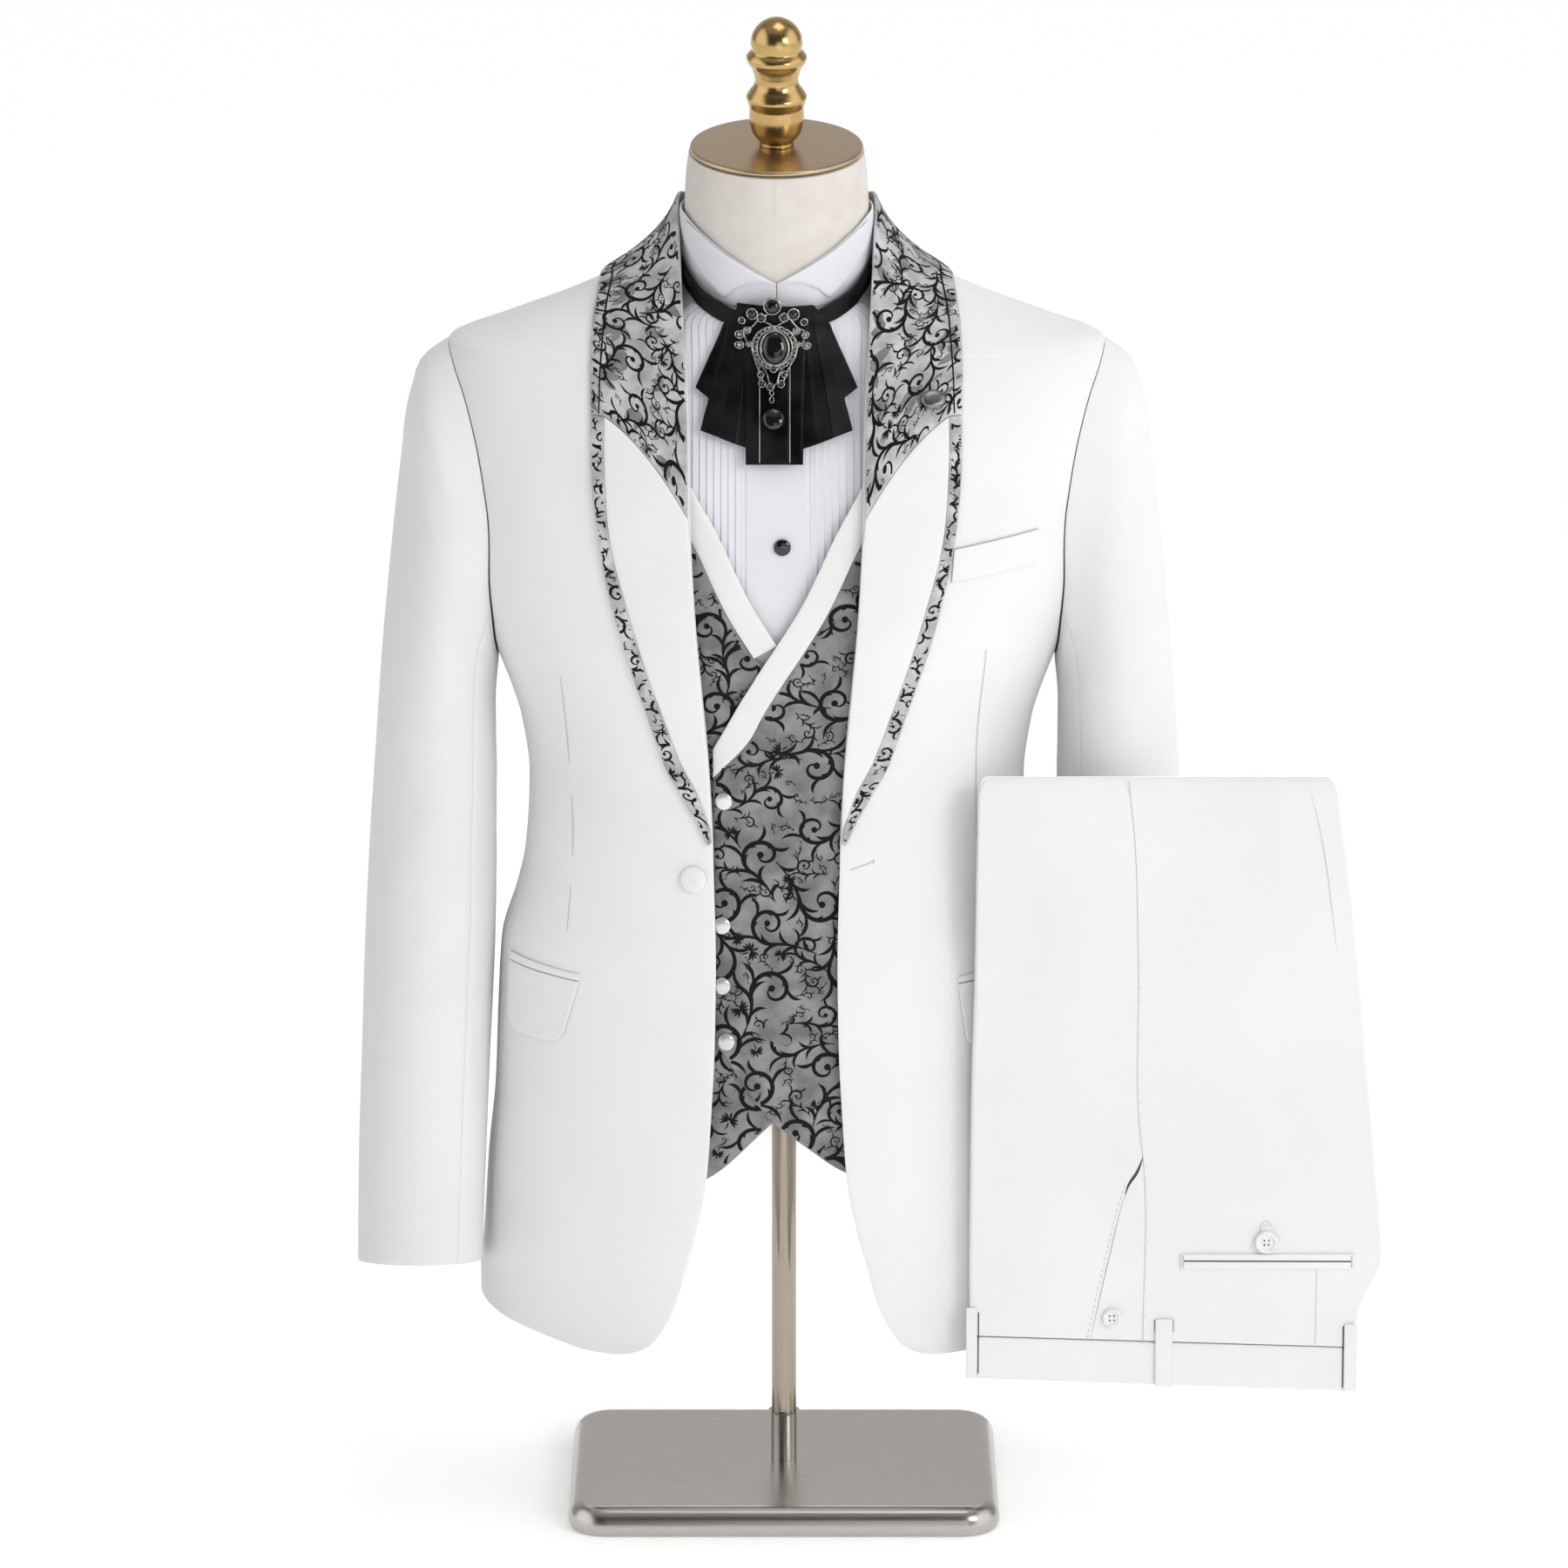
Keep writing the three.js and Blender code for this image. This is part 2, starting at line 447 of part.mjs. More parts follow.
function collarGrid() {
  const seam = steps(5).map((u) => {
    const [x, z] = across(lapel[lapel.length - 1], u);
    return bodyAt(x, z + 0.7, layer.lapel);
  });
  seam.push(bodyAt(124, 784.6, layer.lapel));
  const chest = chestCollar.map((row) => steps(6).map((u) => bodyAt(...across(row, u), layer.lapel)));
  const bent = ({ roll, bend, edge }) => steps(6).map((t) => roll.map((v, i) =>
    (1 - t) ** 2 * v + 2 * t * (1 - t) * bend[i] + t * t * edge[i]));
  const right = [seam, ...chest, ...neckCollar.map(bent)];
  return [...right, bent(collarBack), ...mirror(right).reverse()];
}
// A strip round the neck; each row gives an angle from the front, a radius and two heights.
function neckStrip(table, lift, cells) {
  const first = table[0].turn, last = table[table.length - 1].turn;
  const [radius, low, top] = ["r", "low", "top"].map((name) => track(table, "turn", name));
  return steps(cells).map((t) => mix(first, last, t)).map((turn) => steps(2).map((u) => {
    const z = mix(low(turn), top(turn), u), a = degrees(turn), r = radius(turn);
    const middle = neckFootDepth - (z - neckFootHeight) * Math.tan(neckTilt);
    return [(r + lift) * Math.sin(a), middle - (r + lift) * Math.cos(a), z];
  }));
}
const closedBehind = (rows) => {
  return [...rows, ...rows.slice(0, -1).reverse().map((row) => ({ ...row, turn: 360 - row.turn }))];
};
const collarStand = [
  { turn: 76, r: 69.8, low: 874.5, top: 889 }, { turn: 95, r: 69.7, low: 874, top: 896 },
  { turn: 115, r: 71.5, low: 873.4, top: 896 }, { turn: 135, r: 74.5, low: 873.2, top: 896 },
  { turn: 157, r: 76.4, low: 873, top: 895 }, { turn: 180, r: 76.8, low: 873, top: 895 },
];
const patchWall = 1.7;
function patch(corners, acrossCount, upCount, top) {
  const rows = steps(upCount).map((v) => steps(acrossCount).map((u) => [
    mix(mix(corners.x0, corners.x1, u), mix(corners.x2, corners.x3, u), v),
    mix(mix(corners.z0, corners.z1, u), mix(corners.z2, corners.z3, u), v),
  ]));
  return { outer: onBody(rows, top), inner: onBody(rows, top - patchWall) };
}
const hipFlap = { x0: 148, z0: 343.5, x1: 184, z1: 346, x2: 134.2, z2: 389, x3: 182, z3: 393 };
const hipJet = { x0: 134.2, z0: 389.8, x1: 182, z1: 393.8, x2: 134.4, z2: 394, x3: 182, z3: 399 };
const breastWelt = { x0: 117.4, z0: 673.8, x1: 175, z1: 682, x2: 119, z2: 696, x3: 176, z3: 704.5 };
const dome = (radius, height) => [
  { r: radius * 0.82, h: 0 }, { r: radius, h: height * 0.3 }, { r: radius * 0.97, h: height * 0.55 },
  { r: radius * 0.75, h: height * 0.85 }, { r: radius * 0.4, h: height },
];
function button(name, foot, normal, radius, height, look) {
  put(name, stack(turned(dome(radius, height), 12, foot, normal)), look);
}
function bodyButton(name, x, z, lift, radius, height, look) {
  const foot = bodyAt(x, z, lift);
  button(name, foot, minus(bodyAt(x, z, lift + 1), foot), radius, height, look);
}
const jacketButtons = [
  { name: "jacket_button", x: -56.5, z: 465.5, lift: 0.3, r: 9, height: 4, look: whiteCloth },
  { name: "collar_button", x: 104.2, z: 794.4, lift: layer.lapel + 0.3, r: 7.5, height: 4, look: brocade },
];
function buildJacket() {
  putPair("jacket_front", frontGrid(0), frontGrid(-jacketWall), whiteCloth);
  putPair("jacket_side", sideGrid(0), sideGrid(-jacketWall), whiteCloth);
  putPair("jacket_back", backGrid(0), backGrid(-jacketWall), whiteCloth);
  const sleeve = wholeSleeve(), backSeamColumn = sleeveTurns.length;
  const [topOuter, topInner] = sleeve.map((grid) => panelOf(grid, frontSeamColumn, backSeamColumn));
  const [underOuter, underInner] = sleeve.map((grid) => panelOf(grid, 0, frontSeamColumn));
  putPair("sleeve_top", topOuter, topInner, whiteCloth);
  putPair("sleeve_under", underOuter, underInner, whiteCloth);
  const high = layer.lapel, low = layer.lapel - jacketWall;
  putPair("lapel", onBody(lapelRows(), high), onBody(lapelRows(), low), whiteCloth);
  putPair("lapel_band", onBody(bandRows(), high), onBody(bandRows(), low), brocade);
  const collar = collarGrid();
  put("upper_collar", wall(collar, pushed(collar, -jacketWall, [0, 0, 890])), brocade);
  const stand = closedBehind(collarStand);
  put("collar_stand", wall(neckStrip(stand, 0, 20), neckStrip(stand, -1.3, 20)), whiteCloth);
  const flap = patch(hipFlap, 4, 2, layer.pocket), jetting = patch(hipJet, 4, 1, layer.pocket);
  putPair("hip_flap", flap.outer, flap.inner, whiteCloth);
  putPair("hip_jet", jetting.outer, jetting.inner, whiteCloth);
  const welt = patch(breastWelt, 6, 2, layer.welt);
  put("breast_welt", wall(welt.outer, welt.inner), whiteCloth);
  jacketButtons.forEach(({ name, x, z, lift, r, height, look }) =>
    bodyButton(name, x, z, lift, r, height, look));
}

// Vest.
const vestBand = [
  { x: 64, z: 752 }, { x: 52, z: 729 }, { x: 38, z: 702 }, { x: 27, z: 678 }, { x: 16, z: 656 },
  { x: 0, z: 630 }, { x: -12, z: 611 }, { x: -25, z: 588 }, { x: -36, z: 568 },
];
const bandStep = { x: 15.5, z: -9.1 };        // from the band's inner edge to its seam with the front
const bandEnd = { inX: -43.7, inZ: 555, outX: -43.7, outZ: 534.5 };
const overHem = [
  { x: -44, z: 350 }, { x: -36, z: 343 }, { x: -28, z: 329 }, { x: -2, z: 294.5 }, { x: 20, z: 277 },
  { x: 43.7, z: 260 }, { x: 80, z: 246 }, { x: 150, z: 242 },
];
const underHem = [
  { x: -9, z: 304 }, { x: 2, z: 294.5 }, { x: 50.4, z: 251.8 }, { x: 80, z: 243 }, { x: 150, z: 240 },
];
const vestSide = 82;              // degrees from the front's middle
const vestArm = [
  { z: 575, angle: 82 }, { z: 600, angle: 72 }, { z: 640, angle: 56 }, { z: 700, angle: 47 },
  { z: 760, angle: 46 }, { z: 800, angle: 50 }, { z: 826, angle: 62 }, { z: 838, angle: 78 },
  { z: 846, angle: 90 },
];
const vestRows = [
  534, 558.9, 578.9, 601.9, 620.9, 646.9, 668.9, 692.9, 719.9, 742.9, 775, 805, 826, 838, 846,
];
const vestBackRows = [242, 300, 380, 430, 480, 534, 575, 597, 620, 668.9, 742.9, 805, 838];
const vestLevel = 380;            // vest rows above this height are level
const hemOver = track(overHem, "x", "z"), hemUnder = track(underHem, "x", "z");
const vestArmAt = track(vestArm, "z", "angle");
function vestBandRows(isOver) {
  const rows = vestBand.filter(({ x }) => isOver || x > -1).map(({ x, z }) => [
    [x, z], [x + bandStep.x / 2, z + bandStep.z / 2], [x + bandStep.x, z + bandStep.z],
  ]);
  const { inX, inZ, outX, outZ } = bandEnd;
  if (isOver) rows.push(steps(2).map((u) => [mix(inX, outX, u), mix(inZ, outZ, u)]));
  return rows;
}
// The inner edge of a vest front: the seam with the V band, then straight down.
function vestEdge(isOver) {
  const seam = vestBand.filter(({ x }) => isOver || x > -1)
    .map(({ x, z }) => ({ z: z + bandStep.z, x: x + bandStep.x + seamGap })).reverse();
  const straight = isOver
    ? [{ z: 240, x: bandEnd.inX }, { z: 528, x: bandEnd.inX }, { z: 534, x: bandEnd.inX + 0.3 }]
    : [{ z: 240, x: -6 }, { z: 600, x: -6 }];
  return track([...straight, ...seam, { z: 846, x: 88 }], "z", "x");
}
function vestGrid(isOver, lift) {
  const cells = 6, edge = vestEdge(isOver), hem = isOver ? hemOver : hemUnder;
  const low = [isOver ? 345 : 304, vestLevel, 430, 480];
  const seamX = skin(degrees(vestSide), 300)[0];
  return [...low, ...vestRows].map((rowZ) => steps(cells).map((u) => {
    const from = edge(rowZ), to = degrees(rowZ > vestArm[0].z ? vestArmAt(rowZ) : vestSide);
    const hemZ = hem(mix(edge(low[0]), seamX, u));
    const z = rowZ >= vestLevel ? rowZ : hemZ + (rowZ - low[0]) * (vestLevel - hemZ) / (vestLevel - low[0]);
    const angle = mix(angleOf(from, z), to, u);
    return body(angle, z, lift);
  }));
}
function vestBackGrid(lift) {
  const cells = 4, side = degrees(vestSide + 0.7);
  const right = vestBackRows.map((rowZ) => steps(cells).map((u) => {
    const reach = rowZ > vestArm[0].z ? degrees(180 - vestArmAt(rowZ) + 0.2) : side;
    return body(mix(Math.PI, reach, u), rowZ, lift);
  }));
  return right.map((row) => [...row.map(([x, y, z]) => [-x, y, z]).reverse(), ...row.slice(1)]);
}
const vestButtons = [
  { x: -36.3, z: 519, lift: 1.2 }, { x: -37.6, z: 433, lift: 0.9 },
  { x: -37.7, z: 391, lift: 0.5 }, { x: -34.8, z: 352, lift: 0.5 },
];
const vestButtonSize = { r: 6, height: 2.6 };
const vestBandLift = 0.4;
function buildVest() {
  const over = layer.vestOver, under = layer.vestUnder;
  put("vest_front_right", wall(vestGrid(true, over), vestGrid(true, over - vestWall)), brocade);
  put("vest_front_left", wall(mirror(vestGrid(false, under)), mirror(vestGrid(false, under - vestWall))), brocade);
  const band = (rows, level) => [onBody(rows, level + vestBandLift), onBody(rows, level - vestWall)];
  const overBand = band(vestBandRows(true), over), underBand = band(vestBandRows(false), under);
  put("vest_band_right", wall(...overBand), whiteCloth);
  put("vest_band_left", wall(...underBand.map(mirror)), whiteCloth);
  put("vest_back", wall(vestBackGrid(layer.vestBack), vestBackGrid(layer.vestBack - vestWall)), satin);
  const { r, height } = vestButtonSize;
  vestButtons.forEach(({ x, z, lift }, i) =>
    bodyButton("vest_button_" + (i + 1), x, z, over + lift, r, height, brocade));
}

// Shirt front, collar and bow.
const shirt = { reach: 69, pleat: 4.8, pleatFrom: 23, pleatTo: 61.4, placket: 20, relief: 0.8, wall: 1.4 };
const shirtRows = [604, 650, 695, 740, 775, 805, 830, 849];
const shirtLevel = 805;           // shirt rows below this height are level
const shirtLift = [{ z: 600, lift: 4.4 }, { z: 790, lift: 4.4 }, { z: 825, lift: 3.4 }, { z: 875, lift: 3 }];
const shirtLiftAt = track(shirtLift, "z", "lift");
const shirtColumns = [{ x: 0, rise: 0 }, { x: shirt.placket - 0.5, rise: 0 }, { x: shirt.placket, rise: -0.6 }];
for (let x = shirt.pleatFrom; x < shirt.pleatTo; x += shirt.pleat)
  shirtColumns.push({ x, rise: -shirt.relief / 2 }, { x: x + shirt.pleat - 0.6, rise: shirt.relief / 2 });
shirtColumns.push({ x: 65, rise: 0 }, { x: shirt.reach, rise: 0 });
const allColumns = [...shirtColumns.slice(1).map((c) => ({ ...c, x: -c.x })).reverse(), ...shirtColumns];
const shirtTop = (x) => 848.6 + 5 * (x / 62) ** 2;
const drawnIn = (z) => Math.min(1, (0.8 * formAt.half(z)) / shirt.reach);
const onShirt = (x, z, lift) => chestAt(x, z, shirtLiftAt(z) + lift);
function shirtGrid(isOuter) {
  const top = shirtRows[shirtRows.length - 1] - shirtLevel;
  return shirtRows.map((rowZ) => allColumns.map(({ x, rise }) => {
    const ending = shirtTop(Math.min(66, Math.abs(x)));
    const z = rowZ < shirtLevel ? rowZ : mix(shirtLevel, ending, (rowZ - shirtLevel) / top);
    return onShirt(x * drawnIn(z), z, isOuter ? rise : -shirt.wall);
  }));
}
const shirtCollar = [
  { turn: 1.2, r: 66.1, low: 851, top: 870.5 }, { turn: 12, r: 66.1, low: 851.6, top: 878 },
  { turn: 30, r: 66.1, low: 854.4, top: 889 }, { turn: 50, r: 66, low: 860.5, top: 901 },
  { turn: 75, r: 65.6, low: 868.5, top: 911 }, { turn: 105, r: 65.6, low: 872, top: 914 },
  { turn: 140, r: 65.6, low: 874, top: 915 }, { turn: 180, r: 65.6, low: 874, top: 915 },
];
const shirtWing = [
  { turn: 1.6, r: 67.6, low: 869, top: 870.2 }, { turn: 8, r: 67.8, low: 871, top: 875 },
  { turn: 16, r: 67.9, low: 870, top: 880 }, { turn: 24, r: 68.1, low: 866.5, top: 885 },
  { turn: 32, r: 68.2, low: 860, top: 889.8 }, { turn: 41, r: 68, low: 867, top: 895.5 },
  { turn: 54, r: 67.6, low: 879, top: 902.5 }, { turn: 68, r: 67.2, low: 892, top: 907.5 },
];
const strap = [
  { turn: 16, r: 72.9, low: 840, top: 849.5 }, { turn: 24, r: 73.7, low: 842, top: 853 },
  { turn: 30, r: 74.3, low: 843.5, top: 856.5 },
  { turn: 43, r: 73.6, low: 850, top: 864 }, { turn: 57, r: 70.6, low: 858, top: 873 },
  { turn: 72, r: 67.8, low: 864, top: 881 }, { turn: 85, r: 67.5, low: 868, top: 885 },
  { turn: 110, r: 67.5, low: 872, top: 888 }, { turn: 180, r: 67.5, low: 874, top: 889 },
];
// Bow pieces hang over the shirt: each row runs from an inner to an outer point.
const upperWing = [
  { inX: 13, inZ: 849, outX: 24, outZ: 851 }, { inX: 17, inZ: 838, outX: 34, outZ: 841 },
  { inX: 25, inZ: 816, outX: 46, outZ: 820 }, { inX: 33, inZ: 800, outX: 54.5, outZ: 805.5 },
  { inX: 36, inZ: 793.5, outX: 44, outZ: 794.5 },
];
const lowerWing = [
  { inX: 13.5, inZ: 848, outX: 22, outZ: 849 }, { inX: 14.5, inZ: 828, outX: 32.5, outZ: 832 },
  { inX: 15.5, inZ: 800, outX: 41.5, outZ: 803 }, { inX: 16, inZ: 772, outX: 51, outZ: 773.5 },
  { inX: 16.5, inZ: 756.5, outX: 45.5, outZ: 766.5 },
];
const tail = [
  { inX: -21, inZ: 855.5, outX: 21, outZ: 855.5 }, { inX: -22.6, inZ: 849, outX: 22.4, outZ: 849 },
  { inX: -21.5, inZ: 830, outX: 20, outZ: 830 }, { inX: -20.5, inZ: 800, outX: 18, outZ: 800 },
  { inX: -19.6, inZ: 775, outX: 17.4, outZ: 776 }, { inX: -19.5, inZ: 752.5, outX: 17, outZ: 754.5 },
];
const bowLayer = { upper: 4.6, lower: 6.2, tail: 8, thick: 1, tailThick: 1.2 };
function hung(rows, cells, low, thick) {
  const at = (lift) => rows.map((row) => steps(cells).map((u) =>
    onShirt(mix(row.inX, row.outX, u), mix(row.inZ, row.outZ, u), lift)));
  return { outer: at(low + thick), inner: at(low) };
}
const jewel = { x: -1.6, z: 826, lift: 11.1, up: 21.5, top: 17.5, side: 17, bottom: 22 };
const jewelRings = [
  { reach: 0.9, h: 0 }, { reach: 1, h: 0.8 }, { reach: 0.97, h: 2 }, { reach: 0.8, h: 2.6 },
  { reach: 0.62, h: 2.2 }, { reach: 0.5, h: 3.4 }, { reach: 0.36, h: 5 }, { reach: 0.16, h: 5.9 },
];
const bead = { x: -2, z: 784, lift: 9.8, r: 5.6, height: 5.4 };
const stud = { x: 3.8, z: 697.7, lift: 0.3, r: 5.75, height: 3.2 };
function shirtButton(name, { x, z, lift, r, height }, look) {
  const foot = onShirt(x, z, lift);
  button(name, foot, minus(onShirt(x, z, lift + 1), foot), r, height, look);
}
function brooch() {
  const count = 24, { x, z, lift } = jewel, foot = onShirt(x, z, lift);
  const up = unit(minus(onShirt(x, z + 20, lift), onShirt(x, z - 20, lift)));
  const side = [1, 0, 0], out = cross(side, up);
  return stack(jewelRings.map(({ reach, h }) => steps(count).slice(0, count).map((t) => {
    const a = 2 * Math.PI * t, wide = Math.abs(Math.sin(a)), high = Math.cos(a);
    const lobe = reach > 0.6 ? 1 + 0.09 * Math.cos(7 * a) : 1;
    const r = reach * lobe * (high > 0 ? mix(jewel.top, jewel.up, wide) : mix(jewel.bottom, jewel.side, wide));
    const oval = reach > 0.6 ? 1 : mix(1, 0.78, wide);
    return add(add(add(foot, side, -r * oval * Math.sin(a)), up, r * high), out, h);
  })));
}
function buildShirtAndBow() {
  put("shirt_front", wall(shirtGrid(true), shirtGrid(false)), shirtCloth);
  const band = closedBehind(shirtCollar);
  put("shirt_collar", wall(neckStrip(band, 0, 28), neckStrip(band, -1.2, 28)), shirtCloth);
  putPair("shirt_wing", neckStrip(shirtWing, 0, 8), neckStrip(shirtWing, -1, 8), shirtCloth);
  shirtButton("shirt_stud", stud, jet);
  const ring = closedBehind(strap);
  put("bow_strap", wall(neckStrip(ring, 0, 26), neckStrip(ring, -1, 26)), satin);
  const upper = hung(upperWing, 3, bowLayer.upper, bowLayer.thick);
  const lower = hung(lowerWing, 4, bowLayer.lower, bowLayer.thick);
  const middle = hung(tail, 6, bowLayer.tail, bowLayer.tailThick);
  putPair("bow_upper_wing", upper.outer, upper.inner, satin);
  putPair("bow_lower_wing", lower.outer, lower.inner, satin);
  put("bow_tail", wall(middle.outer, middle.inner), satin);
  put("brooch", brooch(), jet);
  shirtButton("brooch_bead", bead, jet);
}

// Trousers, laid flat and folded, waistband down.
const trousers = { thick: 15, layers: 4, clear: 0.5, lowCut: 7.4, cutBelow: 150 };
const jacketSide = 131;           // the jacket's front under the trousers' left edge
const topFold = { left: 136, right: 380 };
const pieceGap = 0.4;             // between the folded cloth and what is sewn on it
const legRows = [
  { z: 142.5, left: 134, right: 394.5 }, { z: 166, left: 131.8, right: 401 }, { z: 199, left: 131.6, right: 414.5 },
  { z: 262, left: 132, right: 409.5 }, { z: 322, left: 132.6, right: 403.5 }, { z: 396, left: 134.4, right: 396.5 },
  { z: 480, left: 135.4, right: 386.5 }, { z: 524, left: 136, right: 380 },
];
const foldRows = [{ turn: 25, z: 529 }, { turn: 50, z: 533.5 }, { turn: 72, z: 536.2 }, { turn: 84, z: 537 }];
const waistRows = [
  { leftZ: 112.5, rightZ: 103, left: 135, right: 392.5 }, { leftZ: 127, rightZ: 118, left: 134.4, right: 393.6 },
  { leftZ: 142, rightZ: 134, left: 134, right: 394.2 },
];
// One section of the folded cloth: flat faces, and an edge of several rounded layers at each side.
function foldedRing(left, right, leftZ, rightZ, back, thick, layers) {
  const points = [];
  const place = (x, y) => points.push([x, y, mix(leftZ, rightZ, (x - left) / (right - left))]);
  const front = back - thick, ply = thick / layers, notch = 1.3;
  for (const u of steps(5)) place(mix(left + 3, right - 3, u), front);
  for (let i = 0; i < layers; i++) {
    place(right - 0.4, front + ply * (i + 0.5));
    if (i < layers - 1) place(right - 0.4 - notch, front + ply * (i + 1));
  }
  for (const u of steps(5)) place(mix(right - 3, left + 3, u), back);
  for (let i = layers - 1; i >= 0; i--) {
    place(left + 0.4, front + ply * (i + 0.5));
    if (i > 0) place(left + 0.4 + notch, front + ply * i);
  }
  return points;
}
const trouserSlabs = [
  { name: "belt_loop_left", x0: 130, x1: 137.5, z0: 113, z1: 163.5, thick: 1.8 },
  { name: "belt_loop_middle", x0: 260, x1: 271.8, z0: 107, z1: 155.4, thick: 1.8 },
  { name: "belt_loop_right", x0: 389.8, x1: 398.6, z0: 103.4, z1: 151.8, thick: 1.8 },
  { name: "back_pocket_welt", x0: 277, x1: 395.6, z0: 191.5, z1: 202, thick: 1.5 },
  { name: "pocket_button_tab", x0: 331.5, x1: 338.5, z0: 202.4, z1: 222, thick: 0.9 },
];
const trouserButtons = [
  { name: "pocket_button", x: 335.4, z: 211, off: 1.7, r: 8, height: 3 },
  { name: "side_button", x: 230, z: 156.5, off: 0.3, r: 6.5, height: 3 },
];
function slab({ name, x0, x1, z0, z1, thick }, face) {
  const y0 = face - pieceGap - thick, y1 = face - pieceGap;
  const ring = (z) => [[x0, y0, z], [(x0 + x1) / 2, y0 - 0.3, z], [x1, y0, z], [x1, y1, z], [x0, y1, z]];
  put(name, stack([ring(z0), ring(mix(z0, z1, 0.5)), ring(z1)]), whiteCloth);
}
function trousersBack() {
  const rows = [150, 200, 250, 300, 350, 400, 450];
  return Math.min(...rows.map((z) => bodyAt(jacketSide, z)[1])) - trousers.clear;
}
function buildTrousers() {
  const back = trousersBack(), { thick, layers } = trousers, face = back - thick;
  const flat = legRows.map(({ z, left, right }) => {
    const rightZ = z < trousers.cutBelow ? z - trousers.lowCut : z;
    return foldedRing(left, right, z + 0.8, rightZ, back, thick, layers);
  });
  const fold = foldRows.map(({ turn, z }) => {
    const keep = Math.cos(degrees(turn)), lost = thick * (1 - keep) / 2;
    return foldedRing(topFold.left + lost, topFold.right - lost, z, z, back - lost, thick - 2 * lost, layers);
  });
  put("trouser_legs", stack([...flat, ...fold]), whiteCloth);
  const waist = waistRows.map(({ left, right, leftZ, rightZ }) =>
    foldedRing(left, right, leftZ, rightZ, back, thick, 2));
  put("trouser_waistband", stack(waist), whiteCloth);
  trouserSlabs.forEach((row) => slab(row, face));
  trouserButtons.forEach(({ name, x, z, off, r, height }) =>
    button(name, [x, face - off, z], [0, -1, 0], r, height, whiteCloth));
}

buildStand();
buildForm();
buildJacket();
buildVest();
buildShirtAndBow();
buildTrousers();
export default root;
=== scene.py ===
# Three-piece tuxedo on a dress form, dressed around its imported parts.
import math
import bpy
import mathutils
import numpy as np
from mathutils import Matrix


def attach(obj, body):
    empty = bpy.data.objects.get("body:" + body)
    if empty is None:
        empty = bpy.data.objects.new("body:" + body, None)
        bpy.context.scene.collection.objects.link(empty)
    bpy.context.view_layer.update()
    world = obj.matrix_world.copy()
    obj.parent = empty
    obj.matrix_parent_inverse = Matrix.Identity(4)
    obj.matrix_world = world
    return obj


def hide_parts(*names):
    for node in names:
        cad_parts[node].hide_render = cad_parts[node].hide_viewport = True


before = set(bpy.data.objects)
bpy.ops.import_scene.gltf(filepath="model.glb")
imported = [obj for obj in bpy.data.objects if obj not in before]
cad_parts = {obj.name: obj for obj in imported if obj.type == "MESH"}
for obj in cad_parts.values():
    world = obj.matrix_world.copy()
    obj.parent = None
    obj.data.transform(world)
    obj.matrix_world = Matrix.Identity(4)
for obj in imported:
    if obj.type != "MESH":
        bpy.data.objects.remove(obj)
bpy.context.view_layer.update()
print("frame loaded:", len(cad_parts), "nodes")

# Lengths below are in mm, in the garment's own frame: its middle sits clothShift beside the base's middle.
clothShift = -5
seam = {"gap": 0.3, "sink": 0.42, "reach": 1.0}   # how the edges of two panels round down into their seam
layer = {"vestOver": -6, "vestUnder": -9.2, "vestBack": -7, "lapel": 3.2, "pocket": 2.8, "welt": 2.4}
wallOf = {"jacket": 2, "vest": 1.5, "shirt": 1.4}
leastFlat = 0.0102   # metres: the least width or length a sheet's flat size is given
squareness = 2.3
neckTilt = math.radians(9)

torso = {
    "z": [126, 165, 190, 250, 300, 350, 400, 437, 465, 498, 517, 557, 578, 602, 626, 670, 718, 767, 799, 820,
          834, 848, 860, 873],
    "half": [206, 206.5, 204, 200, 195, 193, 190, 179, 173, 170.5, 170, 175, 181, 190, 199.5, 213.5, 219.5,
             225.5, 227.5, 223, 188, 149, 120, 86],
    "front": [108, 110.5, 111.7, 112, 112, 110.5, 108, 105.5, 103.7, 103, 103, 107.5, 112, 118, 120.5, 122,
              122, 112, 96, 82, 70, 58, 48, 40],
    "back": [122, 122, 122, 121, 119, 116, 111, 105, 101, 98.5, 98, 105, 111, 118, 119, 122, 120, 112, 105,
             98, 92, 86, 80, 72],
}
form = {
    "z": [322, 326, 336, 400, 440, 475, 515, 557, 602, 645, 690, 730, 765, 790, 808, 823, 836, 848, 858, 868,
          890, 915, 936, 951.5],
    "half": [150, 166, 172, 169, 159, 152, 151, 154, 167, 184, 192, 196, 198, 192, 168, 134, 101, 78, 66.4,
             62.6, 62.4, 62.2, 61.2, 59.2],
    "front": [76, 86, 91, 90, 87, 85.5, 85, 89, 98, 103, 104, 102.5, 94.5, 83, 75.5, 69, 65.5, 61.8, 61.6,
              62.6, 62.4, 62.2, 61.2, 59.2],
    "back": [86, 96, 100, 94, 87, 82, 80, 85, 96, 102, 103, 100, 95, 88, 81, 75, 68, 64, 63, 62.6, 62.4, 62.2,
             61.2, 59.2],
    "middle": [0] * 15 + [-1, -2, -3, -3.6, -4, -7.5, -11.4, -14.8, -17.2],
    "tilt": [0] * 16 + [1, 4, 7] + [9] * 5,
    "power": [2.3] * 14 + [2.2, 2.1, 2.05, 2.02] + [2] * 6,
}


